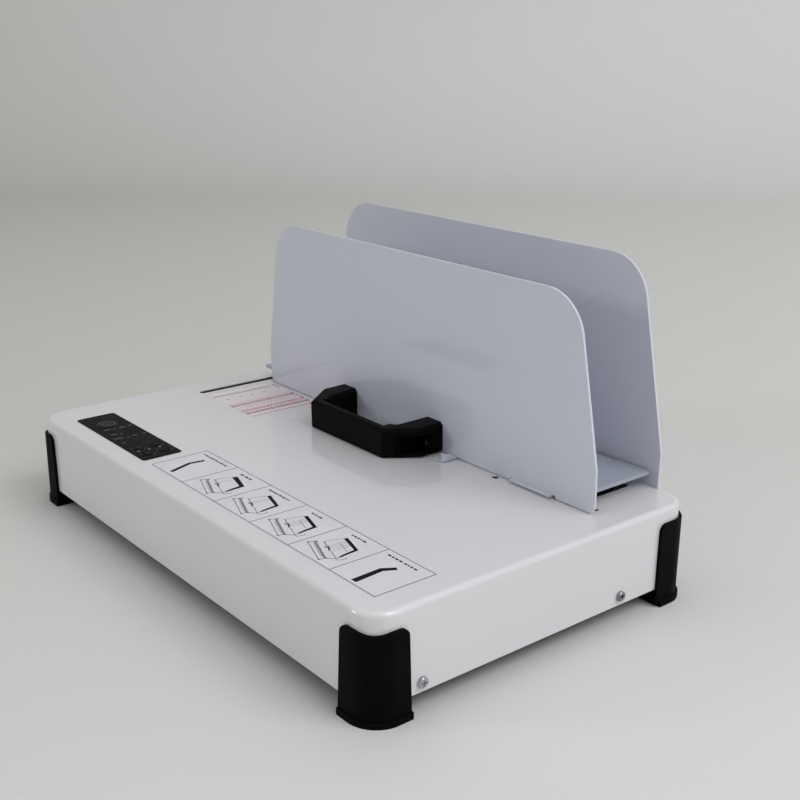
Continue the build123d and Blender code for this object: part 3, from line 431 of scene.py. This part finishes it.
class Board(Enum):
    """The machine's circuit and insulating boards."""

    # circuit board: green lacquer over paler copper lands
    CIRCUIT = Laminate("glass_epoxy_green", "#12492B", 0.35, "#1E6A3E")
    # pressed ceramic fibre: chalky, with soft clumps
    FIBRE = Laminate("ceramic_fibre_board", "#CFC9B4", 0.85, "#C4BDA6", 1.6, 12.0)
    # phlogopite mica: brown flakes with a low sheen
    MICA = Laminate("phlogopite_mica", "#8C7452", 0.3, "#A48A63", 2.2, 9.0)


@dataclass
class Finishes:
    """Keeps one material for each finish, made when it is first used."""

    made: dict[str, bpy.types.Material] = field(default_factory=dict)

    def get(self, finish: Enum) -> bpy.types.Material:
        """Return the material of a finish.

        Args:
            finish: The finish.

        Returns:
            Its material.
        """
        if finish.name not in self.made:
            self.made[finish.name] = finish.value.make()
        return self.made[finish.name]

    def put(self, piece: bpy.types.Object, finish: Enum) -> None:
        """Give a piece one finish all over."""
        piece.data.materials.clear()
        piece.data.materials.append(self.get(finish))


@dataclass
class PrintedInk:
    """Strokes and dots of ink on a flat film, made as one mesh of thin solids."""

    name: str
    film_top: float
    height: float = 0.035
    sunk: float = 0.015
    least_mitre: float = 0.35  # keeps the mitre of a sharp corner short
    ribbons: list[tuple[list[Point], list[Point], bool]] = field(default_factory=list)
    patches: list[list[Point]] = field(default_factory=list)

    def stroke(
        self, points: list[Point], width: float, end_width: float | None = None, closed: bool = False
    ) -> None:
        """Add a stroke with mitred corners.

        Args:
            points: The stroke's middle line.
            width: Its width at the start.
            end_width: Its width at the end, if it tapers.
            closed: Whether the last point joins the first.
        """
        last = len(points) - 1
        finish_width = width if end_width is None else end_width
        left, right = [], []
        for i, (x, y) in enumerate(points):
            before = points[i - 1] if i or closed else points[i]
            after = points[(i + 1) % (last + 1)] if i < last or closed else points[i]
            into, onward = Vector((x, y)) - Vector(before), Vector(after) - Vector((x, y))
            into = into.normalized() if into.length else onward.normalized()
            onward = onward.normalized() if onward.length else into
            normal = Vector((-into.y - onward.y, into.x + onward.x)).normalized()
            lean = max(self.least_mitre, normal.dot(Vector((-onward.y, onward.x))))
            half = (width + (finish_width - width) * i / max(last, 1)) / 2 / lean
            left.append((x + normal.x * half, y + normal.y * half))
            right.append((x - normal.x * half, y - normal.y * half))
        self.ribbons.append((left, right, closed))

    def ring(self, centre: Point, radius: float, width: float, sides: int = 36) -> None:
        """Add a ring round a centre."""
        self.stroke(circle(centre, radius, sides), width, closed=True)

    def disc(self, centre: Point, radius: float, sides: int = 20) -> None:
        """Add a round dot."""
        self.patches.append(circle(centre, radius, sides))

    def patch(self, corners: list[Point]) -> None:
        """Add a filled shape with its corners in counter-clockwise order."""
        self.patches.append(corners)

    def build(self, finishes: Finishes, finish: Enum, body: str, slot: str) -> bpy.types.Object:
        """Make the mesh and let it ride.

        Args:
            finishes: The store of materials.
            finish: The ink.
            body: The body that carries the film.
            slot: The record's material slot of the film, which is not used.

        Returns:
            The new object.
        """
        mesh = bmesh.new()
        levels = ((self.film_top - self.sunk) * MM, (self.film_top + self.height) * MM)
        for left, right, closed in self.ribbons:
            rails = []
            for side in (left, right):
                for z in levels:
                    rails.append([mesh.verts.new((x * MM, y * MM, z)) for x, y in side])
            left_low, left_high, right_low, right_high = rails
            count = len(left)
            for i in range(count if closed else count - 1):
                j = (i + 1) % count
                mesh.faces.new((left_high[i], right_high[i], right_high[j], left_high[j]))
                mesh.faces.new((left_low[i], left_low[j], right_low[j], right_low[i]))
                mesh.faces.new((left_low[i], left_high[i], left_high[j], left_low[j]))
                mesh.faces.new((right_low[i], right_low[j], right_high[j], right_high[i]))
            if not closed:
                mesh.faces.new((left_low[0], right_low[0], right_high[0], left_high[0]))
                mesh.faces.new((left_low[-1], left_high[-1], right_high[-1], right_low[-1]))
        for corners in self.patches:
            low, high = [[mesh.verts.new((x * MM, y * MM, z)) for x, y in corners] for z in levels]
            mesh.faces.new(high)
            mesh.faces.new(list(reversed(low)))
            for i in range(len(corners)):
                j = (i + 1) % len(corners)
                mesh.faces.new((low[i], low[j], high[j], high[i]))
        bmesh.ops.recalc_face_normals(mesh, faces=mesh.faces)
        data = bpy.data.meshes.new(self.name)
        mesh.to_mesh(data)
        mesh.free()
        piece = bpy.data.objects.new(self.name, data)
        bpy.context.scene.collection.objects.link(piece)
        finishes.put(piece, finish)
        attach(piece, body)
        return piece


@dataclass
class SubAssembly:
    """A group of the machine's pieces that are dressed together."""

    finishes: Finishes
    coats: dict[str, Enum] = field(default_factory=dict)

    def dress(self) -> list[str]:
        """Give each carried-over node its finish.

        Returns:
            The names of the dressed nodes.
        """
        for node, finish in self.coats.items():
            self.finishes.put(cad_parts[node], finish)
        return list(self.coats)

    def build(self) -> list[str]:
        """Dress the nodes; sub-assemblies with print add it here and return the pieces' names."""
        return self.dress()


@dataclass
class Case(SubAssembly):
    """The folded case, its base plate, corner bumpers and outer screws."""

    coats: dict[str, Enum] = field(
        default_factory=lambda: {
            "top_cover": Coat.CASE,
            "base_plate": Coat.BASE,
            "corner_bumper_front_left": Mould.BUMPER,
            "corner_bumper_front_right": Mould.BUMPER,
            "corner_bumper_rear_left": Mould.BUMPER,
            "corner_bumper_rear_right": Mould.BUMPER,
            "bumper_screws": Metal.ZINC,
            "cover_screws": Metal.ZINC,
        }
    )


@dataclass
class Plates(SubAssembly):
    """The sliding front plate with its handle, and the fixed rear guide plate."""

    coats: dict[str, Enum] = field(
        default_factory=lambda: {
            "front_plate": Coat.PLATE,
            "rear_guide_plate": Coat.PLATE,
            "rear_plate_screws": Metal.ZINC,
            "handle": Mould.HANDLE,
            "handle_screws": Metal.OXIDE,
            "clinch_nuts": Metal.SHEET,
            "handle_bracket": Coat.PLATE,
        }
    )


@dataclass
class Carriage(SubAssembly):
    """The heated platen, its tray and what slides on the rods under the case."""

    coats: dict[str, Enum] = field(
        default_factory=lambda: {
            "platen": Coat.PLATEN,
            "carriage_tray": Coat.PLATE,
            "platen_standoffs": Metal.SHEET,
            "insulation_board": Board.FIBRE,
            "heater_element": Board.MICA,
            "temperature_sensor": Metal.CAN,
            "thermal_fuse": Metal.CAN,
            "tray_rivets": Metal.SHEET,
            "riser_rivets": Metal.SHEET,
            "riser_left": Metal.SHEET,
            "riser_right": Metal.SHEET,
            "carriage_plate": Metal.SHEET,
            "bearing_blocks": Metal.BLOCK,
            "bushings": Metal.BRONZE,
            "block_screws": Metal.ZINC,
            "guide_rod_left": Metal.ROD,
            "guide_rod_right": Metal.ROD,
            "rod_brackets": Metal.SHEET,
            "travel_stops": Metal.SHEET,
        }
    )


@dataclass
class Electrics(SubAssembly):
    """Boards, power parts, inlet and power switch."""

    coats: dict[str, Enum] = field(
        default_factory=lambda: {
            "control_board": Board.CIRCUIT,
            "power_board": Board.CIRCUIT,
            "key_switches": Mould.CHIP,
            "indicator_leds": Mould.LENS,
            "panel_posts": Mould.NYLON,
            "board_standoffs": Mould.NYLON,
            "transformer": Mould.WINDING,
            "heater_relay": Mould.CHIP,
            "terminal_block": Mould.NYLON,
            "buzzer": Mould.CHIP,
            "filter_capacitors": Mould.SLEEVE,
            "inlet_housing": Mould.PORT,
            "inlet_pins": Metal.BRASS,
            "inlet_screws": Metal.ZINC,
            "switch_housing": Mould.PORT,
            "switch_rocker": Mould.ROCKER,
            "mains_lead": Mould.SHEATH,
        }
    )


@dataclass
class InstructionLabel(SubAssembly):
    """The label of six framed pictures along the front edge of the case."""

    coats: dict[str, Enum] = field(default_factory=lambda: {"instruction_label": Coat.LABEL})
    left: float = -52.4
    front: float = -100.6
    cell: float = 36.9
    depth: float = 38.4
    cells: int = 6
    line: float = 0.42
    film_top: float = 60.2
    sheet_step: float = 2.1  # between the drawn sheets, and their drop to the right
    sheet_drop: float = 0.3
    caption_depth: float = 33.9
    caption_gap: float = 0.8
    caption_left: float = 4.6
    short_caption_left: float = 10.8
    long_caption: int = 6  # a caption of more dashes than this starts further left

    def at(self, cell: int, points: list[Point]) -> list[Point]:
        """Move points given from a cell's front left corner into the machine's frame."""
        return [(self.left + cell * self.cell + x, self.front + y) for x, y in points]

    def draw_frames(self, ink: PrintedInk) -> None:
        """Draw the outer frame and the lines between the cells.

        Args:
            ink: The ink of the lines.
        """
        right, back = self.left + self.cells * self.cell, self.front + self.depth
        corners = [(self.left, self.front), (right, self.front), (right, back), (self.left, back)]
        ink.stroke(corners, self.line, closed=True)
        for i in range(1, self.cells):
            x = self.left + i * self.cell
            ink.stroke([(x, self.front + self.line / 2), (x, back - self.line / 2)], self.line)

    def draw_covers(self, ink: PrintedInk) -> None:
        """Draw the cover seen end-on, as a bent bar: thin in the first cell, filled in the last."""
        ink.stroke(self.at(0, [(18.2, 3.1), (12.7, 18.8), (14.1, 28.4)]), 2.6, 2.2)
        ink.stroke(self.at(5, [(17.4, 2.1), (16.2, 20.3), (20.2, 27.1)]), 3.8, 2.8)

    def draw_step(self, dark: PrintedInk, thin: PrintedInk, cell: int) -> None:
        """Draw one working step: plate and platen as a thick angle, case and lever as thin outlines.

        Args:
            dark: The ink of the thick angle.
            thin: The ink of the outlines.
            cell: The number of the cell, which sets how thick the sheets are.
        """
        angle = [(12.4, 28.6), (27.4, 24.2), (27.9, 18.0), (28.8, 12.6)]
        dark.stroke(self.at(cell, angle), 3.3 if cell == 1 else 2.3, 1.3)
        case = [(3.6, 10.4), (5.4, 14.2), (25.2, 6.4), (24.3, 2.6)]
        thin.stroke(self.at(cell, case), 0.4, closed=True)
        thin.stroke(self.at(cell, [(5.2, 13.4), (24.9, 5.8)]), 0.62)
        thin.stroke(self.at(cell, [(6.8, 11.8), (22.6, 5.6)]), 0.24)
        for x, y in ((4.0, 10.0), (5.8, 14.6), (24.4, 2.7), (25.6, 6.4)):
            thin.disc(self.at(cell, [(x, y)])[0], 0.62, 10)
        lever = [(8.6, 17.2), (13.2, 15.6), (14.6, 13.4), (17.0, 15.2), (18.6, 12.8)]
        thin.stroke(self.at(cell, lever + [(20.6, 13.2), (28.6, 10.2)]), 0.5, 0.36)
        thin.stroke(self.at(cell, [(14.2, 15.6), (18.8, 13.4)]), 1.15, 0.9)
        thin.stroke(self.at(cell, [(25.2, 5.9), (29.0, 9.6), (28.8, 12.6)]), 0.42)
        thin.stroke(self.at(cell, [(28.2, 10.4), (31.2, 9.7), (32.4, 13.6), (31.6, 15.0)]), 0.36)
        thin.stroke(self.at(cell, [(8.7, 16.4), (9.6, 21.0), (12.0, 27.4)]), 0.26)
        for i in range(cell):
            step = self.sheet_step * i
            drop = step * self.sheet_drop
            thin.stroke(self.at(cell, [(14.2 + step, 16.4 - drop), (15.4 + step, 26.2 - drop)]), 0.2)
        if cell > 2:
            thin.stroke(self.at(cell, [(15.4, 22.6), (25.8, 19.4)]), 0.26)

    def draw_captions(self, ink: PrintedInk) -> None:
        """Print a row of plain dashes where each cell has its caption.

        Args:
            ink: The ink of the dashes.
        """
        dashes = (
            (1.6, 2.4, 1.4, 2.8, 1.2, 2.2, 1.6, 2.6, 1.4, 2.0),
            (2.4, 1.2, 3.0, 2.6),
            (2.2, 1.4, 2.8, 1.2, 2.2, 2.6, 1.6, 1.2),
            (2.0, 1.8, 1.2, 2.2),
            (1.4, 2.0, 1.8, 1.2, 2.8),
            (2.6, 1.8, 2.2, 2.6, 0.0, 2.0, 1.2, 1.8, 2.6),
        )
        for cell, lengths in enumerate(dashes):
            x = self.caption_left if len(lengths) > self.long_caption else self.short_caption_left
            for length in lengths:
                if length:
                    ends = [(x, self.caption_depth), (x + length, self.caption_depth - 0.1)]
                    ink.stroke(self.at(cell, ends), 1.1 + 0.35 * (length % 0.8))
                x += length + self.caption_gap

    def build(self) -> list[str]:
        """Dress the film and print the pictures on it.

        Returns:
            The names of the pieces.
        """
        names = self.dress()
        frames = PrintedInk("label_frame_lines", self.film_top)
        self.draw_frames(frames)
        bars = PrintedInk("label_dark_bars", self.film_top)
        thin = PrintedInk("label_outlines", self.film_top)
        captions = PrintedInk("label_captions", self.film_top)
        self.draw_covers(bars)
        for cell in range(1, self.cells - 1):
            self.draw_step(bars, thin, cell)
        self.draw_captions(captions)
        inks = (
            (frames, Coat.INK_LINE),
            (bars, Coat.INK_BLACK),
            (thin, Coat.INK_SOFT),
            (captions, Coat.INK_BLACK),
        )
        for ink, finish in inks:
            names.append(ink.build(self.finishes, finish, "case", "label_film").name)
        return names


@dataclass
class ThicknessScale(SubAssembly):
    """The pale rose scale beside the left slot, read at the front plate's foot."""

    coats: dict[str, Enum] = field(default_factory=lambda: {"thickness_label": Coat.SCALE})
    front: float = -2.5
    back: float = 48.5
    pitch: float = 2.5
    film_top: float = 60.15
    bold_every: int = 4  # each fourth tick of a row is bolder
    bold: float = 1.2
    dot_radius: float = 1.1
    rules: tuple[float, ...] = (-117.0, -109.8, -97.6)  # thin lines along the rows
    rule_width: float = 0.2

    def draw_rows(self, plum: PrintedInk, rose: PrintedInk) -> None:
        """Draw the tick rows that run along the plate's travel.

        Args:
            plum: The darker ink.
            rose: The pale red ink.
        """
        # ink, left end, right end, width and shift to the back
        rows = (
            (plum, -121.5, -117.3, 1.05, 0.0),
            (rose, -125.4, -122.4, 0.6, 0.5),
            (rose, -114.4, -112.0, 0.95, 0.9),
            (rose, -107.9, -103.4, 1.35, 0.0),
            (plum, -106.9, -105.7, 0.6, 1.2),
            (plum, -101.7, -98.4, 1.45, 0.4),
            (rose, -94.4, -92.3, 0.9, 0.2),
        )
        for i in range(int((self.back - self.front) / self.pitch) + 1):
            for ink, left, right, width, shift in rows:
                y = self.front + i * self.pitch + shift
                wide = width if i % self.bold_every else width * self.bold
                ink.stroke([(left, y), (right, y + 0.15)], wide)
        for x in self.rules:
            rose.stroke([(x, self.front - 0.6), (x, self.back)], self.rule_width)

    def draw_index(self, grey: PrintedInk, dark: PrintedInk) -> None:
        """Draw the long guide line, the dots every ten millimetres and the dashes at the back.

        Args:
            grey: The ink of the line and the dots.
            dark: The ink of the dashes.
        """
        grey.stroke([(-145.4, self.front), (-144.4, 44.0)], 2.4, 1.9)
        for i in range(4):
            grey.disc((-135.6, 4.0 + 10 * i), self.dot_radius)
        dash_y = 49.0
        for x, length in ((-147.2, 3.0), (-143.2, 4.6), (-122.4, 3.4), (-117.2, 2.6), (-111.4, 4.8)):
            dark.stroke([(x, dash_y), (x + length, dash_y)], 1.0)

    def build(self) -> list[str]:
        """Dress the film and print the scale on it.

        Returns:
            The names of the pieces.
        """
        names = self.dress()
        plum = PrintedInk("scale_dark_ticks", self.film_top)
        rose = PrintedInk("scale_rose_ticks", self.film_top)
        grey = PrintedInk("scale_guide_line", self.film_top)
        dark = PrintedInk("scale_dashes", self.film_top)
        self.draw_rows(plum, rose)
        self.draw_index(grey, dark)
        inks = ((plum, Coat.INK_PLUM), (rose, Coat.INK_ROSE), (grey, Coat.INK_FAINT), (dark, Coat.INK_GREY))
        for ink, finish in inks:
            names.append(ink.build(self.finishes, finish, "case", "scale_film").name)
        return names


@dataclass
class ControlPanel(SubAssembly):
    """The black panel film with its keys, lights and grey marks."""

    coats: dict[str, Enum] = field(
        default_factory=lambda: {
            "control_overlay": Coat.PANEL,
            "power_key": Mould.KEY_GREY,
            "up_key": Mould.KEY_DARK,
            "down_key": Mould.KEY_DARK,
            "mode_key": Mould.KEY_DARK,
            "start_key": Mould.KEY_DARK,
        }
    )
    film_top: float = 60.5
    key_top: float = 60.85
    # printed dashes: place of the middle, length along the front and length to the back
    dashes: tuple[tuple[float, float, float, float], ...] = (
        (-126.4, -94.6, 1.6, 4.2),
        (-125.6, -90.0, 1.5, 1.8),
        (-125.9, -84.1, 1.7, 4.0),
        (-126.4, -78.2, 1.3, 3.0),
        (-115.6, -94.9, 1.9, 4.0),
        (-113.5, -90.7, 1.6, 1.8),
        (-106.6, -96.2, 1.6, 6.4),
        (-105.6, -90.0, 1.4, 2.2),
        (-106.4, -84.8, 1.6, 4.2),
        (-106.2, -78.0, 1.4, 2.6),
        (-97.0, -97.2, 1.2, 2.4),
    )
    lights: tuple[Point, ...] = ((-77.0, -82.3), (-77.0, -89.7), (-77.2, -96.9))
    light_radius: float = 0.75
    key_ring: tuple[float, float] = (4.9, 0.35)  # radius and width
    power_ring: tuple[float, float] = (5.2, 0.8)
    power_line: float = 0.75
    arrow: Point = (1.7, 1.8)  # half width and height above the middle

    def middle(self, node: str) -> Point:
        """The middle of a key, seen from above."""
        low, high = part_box(node)
        return (low.x + high.x) / 2 / MM, (low.y + high.y) / 2 / MM

    def draw_film(self, ink: PrintedInk, dim: PrintedInk, bright: PrintedInk) -> None:
        """Print the dashes and the rings round the keys, and the windows of the small lights.

        Args:
            ink: The grey ink of the dashes.
            dim: The darker ink of the rings.
            bright: The paler ink of the windows.
        """
        for x, y, wide, deep in self.dashes:
            corners = [(x - wide / 2, y - deep / 2), (x + wide / 2, y - deep / 2)]
            ink.patch(corners + [(x + wide / 2, y + deep / 2), (x - wide / 2, y + deep / 2)])
        for node in ("up_key", "down_key", "mode_key", "start_key"):
            dim.ring(self.middle(node), *self.key_ring)
        for x, y in self.lights:
            bright.disc((x, y), self.light_radius, 14)

    def draw_keys(self) -> list[str]:
        """Print one plain symbol on each key, and let it move with the key.

        Returns:
            The names of the symbols.
        """
        names = []
        for node in ("power_key", "up_key", "down_key", "mode_key", "start_key"):
            x, y = self.middle(node)
            ink = PrintedInk(f"{node}_symbol", self.key_top)
            if node == "power_key":
                ink.ring((x, y), *self.power_ring)
                turns = [radians(d) for d in range(40, 321, 20)]
                ink.stroke([(x + 2.7 * sin(t), y + 2.7 * cos(t)) for t in turns], self.power_line)
                ink.stroke([(x, y + 0.6), (x, y + 3.4)], self.power_line)
            elif node in ("up_key", "down_key"):
                way = 1 if node == "up_key" else -1
                side, tip = way * self.arrow[0], way * self.arrow[1]
                ink.patch([(x - side, y - tip * 0.6), (x + side, y - tip * 0.6), (x, y + tip)])
            elif node == "mode_key":
                corners = ((-1.5, -1.5), (1.5, -1.5), (1.5, 1.5), (-1.5, 1.5))
                ink.stroke([(x + dx, y + dy) for dx, dy in corners], 0.6, closed=True)
            else:
                ink.patch([(x - 1.2, y - 1.8), (x + 1.9, y), (x - 1.2, y + 1.8)])
            finish = Coat.INK_PANEL if node == "power_key" else Coat.INK_PANEL_DIM
            names.append(ink.build(self.finishes, finish, f"{node}_body", "overlay_film").name)
        return names

    def build(self) -> list[str]:
        """Dress the panel and print its marks.

        Returns:
            The names of the pieces.
        """
        names = self.dress()
        grey = PrintedInk("panel_marks", self.film_top)
        dim = PrintedInk("panel_key_rings", self.film_top)
        bright = PrintedInk("panel_light_windows", self.film_top)
        self.draw_film(grey, dim, bright)
        inks = ((grey, Coat.INK_PANEL), (dim, Coat.INK_PANEL_DIM), (bright, Coat.INK_PANEL_BRIGHT))
        for ink, finish in inks:
            names.append(ink.build(self.finishes, finish, "case", "overlay_film").name)
        return names + self.draw_keys()


@dataclass
class PhotoCamera:
    """The camera, worked out from the case's edges in the photograph."""

    frame_px: float = 800.0
    focal_px: float = 1175.2
    azimuth: float = 0.885
    pitch: float = 0.312
    roll: float = -0.009
    place: tuple[float, float, float] = (563.7, -409.2, 319.74)
    sensor: float = 36.0
    clip: tuple[float, float] = (0.01, 50.0)

    def build(self) -> bpy.types.Object:
        """Make the camera and make it the scene's own.

        Returns:
            The camera.
        """
        flat = cos(self.pitch)
        forward = Vector((-sin(self.azimuth) * flat, cos(self.azimuth) * flat, -sin(self.pitch)))
        level = Vector((cos(self.azimuth), sin(self.azimuth), 0))
        down = forward.cross(level)
        right = level * cos(self.roll) + down * sin(self.roll)
        upright = level * sin(self.roll) - down * cos(self.roll)
        data = bpy.data.cameras.new("photo_camera")
        data.sensor_width = self.sensor
        data.lens = self.focal_px * self.sensor / self.frame_px
        data.clip_start, data.clip_end = self.clip
        camera = bpy.data.objects.new("photo_camera", data)
        bpy.context.scene.collection.objects.link(camera)
        turn = Matrix((right, upright, -forward)).transposed().to_4x4()
        camera.matrix_world = Matrix.Translation(Vector(self.place) * MM) @ turn
        bpy.context.scene.camera = camera
        return camera


@dataclass
class Lamp:
    """A soft rectangular lamp that points at the machine."""

    name: str
    place: tuple[float, float, float]
    size: tuple[float, float]
    level: float
    colour: str = "#FFFFFF"
    target: tuple[float, float, float] = (0.0, 0.0, 0.08)

    def build(self) -> bpy.types.Object:
        """Make the lamp, whose level is how brightly it alone lights a white surface.

        Returns:
            The lamp.
        """
        data = bpy.data.lights.new(self.name, "AREA")
        data.shape = "RECTANGLE"
        data.size, data.size_y = self.size
        data.color = linear(self.colour)[:3]
        away = Vector(self.place) - Vector(self.target)
        data.energy = self.level * pi * pi * away.length_squared
        lamp = bpy.data.objects.new(self.name, data)
        bpy.context.scene.collection.objects.link(lamp)
        lamp.location = self.place
        lamp.rotation_mode = "QUATERNION"
        lamp.rotation_quaternion = away.to_track_quat("Z", "Y")
        return lamp


@dataclass
class Studio:
    """A pale floor that curves up into a wall all round, an even sky and two soft lamps."""

    # painted light on the paper: its colours at the left and right, paler towards the window, and painted
    # shade where it is darker behind the machine
    pale: tuple[str, str] = ("#CACAC8", "#EAEAEB")
    dull: tuple[str, str] = ("#B9B9B6", "#D9D9D7")
    painted_shade_middle: float = 0.85
    painted_shade_reach: tuple[float, float] = (0.65, 1.35)
    to_right: tuple[float, float, float] = (0.63, 0.77, 0.0)  # across the photograph
    to_back: tuple[float, float, float] = (-0.77, 0.63, 0.0)  # into its depth
    across_reach: float = 1.0
    inner_radius: float = 0.6
    flat_radius: float = 1.7
    curve: float = 0.7
    bend_steps: int = 12
    wall: float = 2.6
    sides: int = 96
    sky_level: float = 0.74
    lamps: tuple[Lamp, ...] = (
        Lamp("right_window", (1.7, 0.55, 1.95), (1.6, 1.4), 0.4),
        Lamp("left_front_fill", (-0.9, -1.65, 0.72), (0.34, 0.34), 0.14),
    )

    def build_floor(self) -> bpy.types.Object:
        """Make the floor and wall as one turned surface that lets the sky's light through.

        Returns:
            The floor.
        """
        steps = [pi / 2 * i / self.bend_steps for i in range(self.bend_steps + 1)]
        bend = [(self.flat_radius + self.curve * sin(t), self.curve * (1 - cos(t))) for t in steps]
        profile = [(self.inner_radius, 0.0), *bend, (self.flat_radius + self.curve, self.wall)]
        mesh = bmesh.new()
        centre = mesh.verts.new((0, 0, 0))
        rings = []
        for radius, height in profile:
            rings.append([mesh.verts.new((x, y, height)) for x, y in circle((0, 0), radius, self.sides)])
        for i in range(self.sides):
            j = (i + 1) % self.sides
            mesh.faces.new((centre, rings[0][i], rings[0][j]))
            for inner, outer in zip(rings, rings[1:]):
                mesh.faces.new((inner[i], outer[i], outer[j], inner[j]))
        for face in mesh.faces:
            face.smooth = True
        data = bpy.data.meshes.new("studio_floor")
        mesh.to_mesh(data)
        mesh.free()
        floor = bpy.data.objects.new("studio_floor", data)
        bpy.context.scene.collection.objects.link(floor)
        self.dress_floor(floor)
        floor.visible_shadow = False
        return floor

    def dress_floor(self, floor: bpy.types.Object) -> None:
        """Give the floor matt background paper with painted light: paler towards the window, and darker
        behind the machine as painted shade.

        Args:
            floor: The floor.
        """
        paper = Finish("matt_paper_painted_light", self.pale[0], 0.75)
        tree, shader, place = paper.start(Specular_IOR_Level=0.2)
        ways = []
        for way in (self.to_right, self.to_back):
            settings = {"operation": "DOT_PRODUCT", 1: way}
            ways.append(add_node(tree, "ShaderNodeVectorMath", settings, {0: place}).outputs["Value"])
        # painted light: the paper grows paler towards the window
        across = paper.spread(tree, ways[0], -self.across_reach, self.across_reach, 0.0, 1.0)
        # painted shade: the paper grows darker behind the machine
        settings = {"operation": "SUBTRACT", 1: self.painted_shade_middle}
        offset = add_node(tree, "ShaderNodeMath", settings, {0: ways[1]}).outputs["Value"]
        away = add_node(tree, "ShaderNodeMath", {"operation": "ABSOLUTE"}, {0: offset}).outputs["Value"]
        share = paper.spread(tree, away, *self.painted_shade_reach, 1.0, 0.0)
        pale, dull = [paper.blend(tree, across, *colours) for colours in (self.pale, self.dull)]
        links = {MIX_SHARE: share, MIX_FIRST: pale, MIX_SECOND: dull}
        tint = add_node(tree, "ShaderNodeMix", {"data_type": "RGBA"}, links).outputs[MIX_RESULT]
        tree.links.new(tint, shader.inputs["Base Color"])
        floor.data.materials.append(bpy.data.materials[paper.name])

    def build_sky(self) -> None:
        """Light the scene evenly from all round."""
        world = bpy.data.worlds.new("even_sky")
        world.use_nodes = True
        sky = world.node_tree.nodes["Background"]
        sky.inputs["Color"].default_value = linear("#FFFFFF")
        sky.inputs["Strength"].default_value = self.sky_level
        bpy.context.scene.world = world

    def build(self) -> None:
        """Make floor, sky, lamps and camera."""
        self.build_floor()
        self.build_sky()
        for lamp in self.lamps:
            lamp.build()
        PhotoCamera().build()
        bpy.context.scene.view_settings.view_transform = "Standard"


def main() -> None:
    """Build every sub-assembly and the studio."""
    logging.basicConfig(level=logging.INFO, format="%(name)s: %(message)s")
    finishes = Finishes()
    for kind in (Case, Plates, Carriage, Electrics, InstructionLabel, ThicknessScale, ControlPanel):
        for name in kind(finishes).build():
            LOG.info("%s: %s", kind.__name__, name)
    Studio().build()


if __name__ == "__main__":
    main()
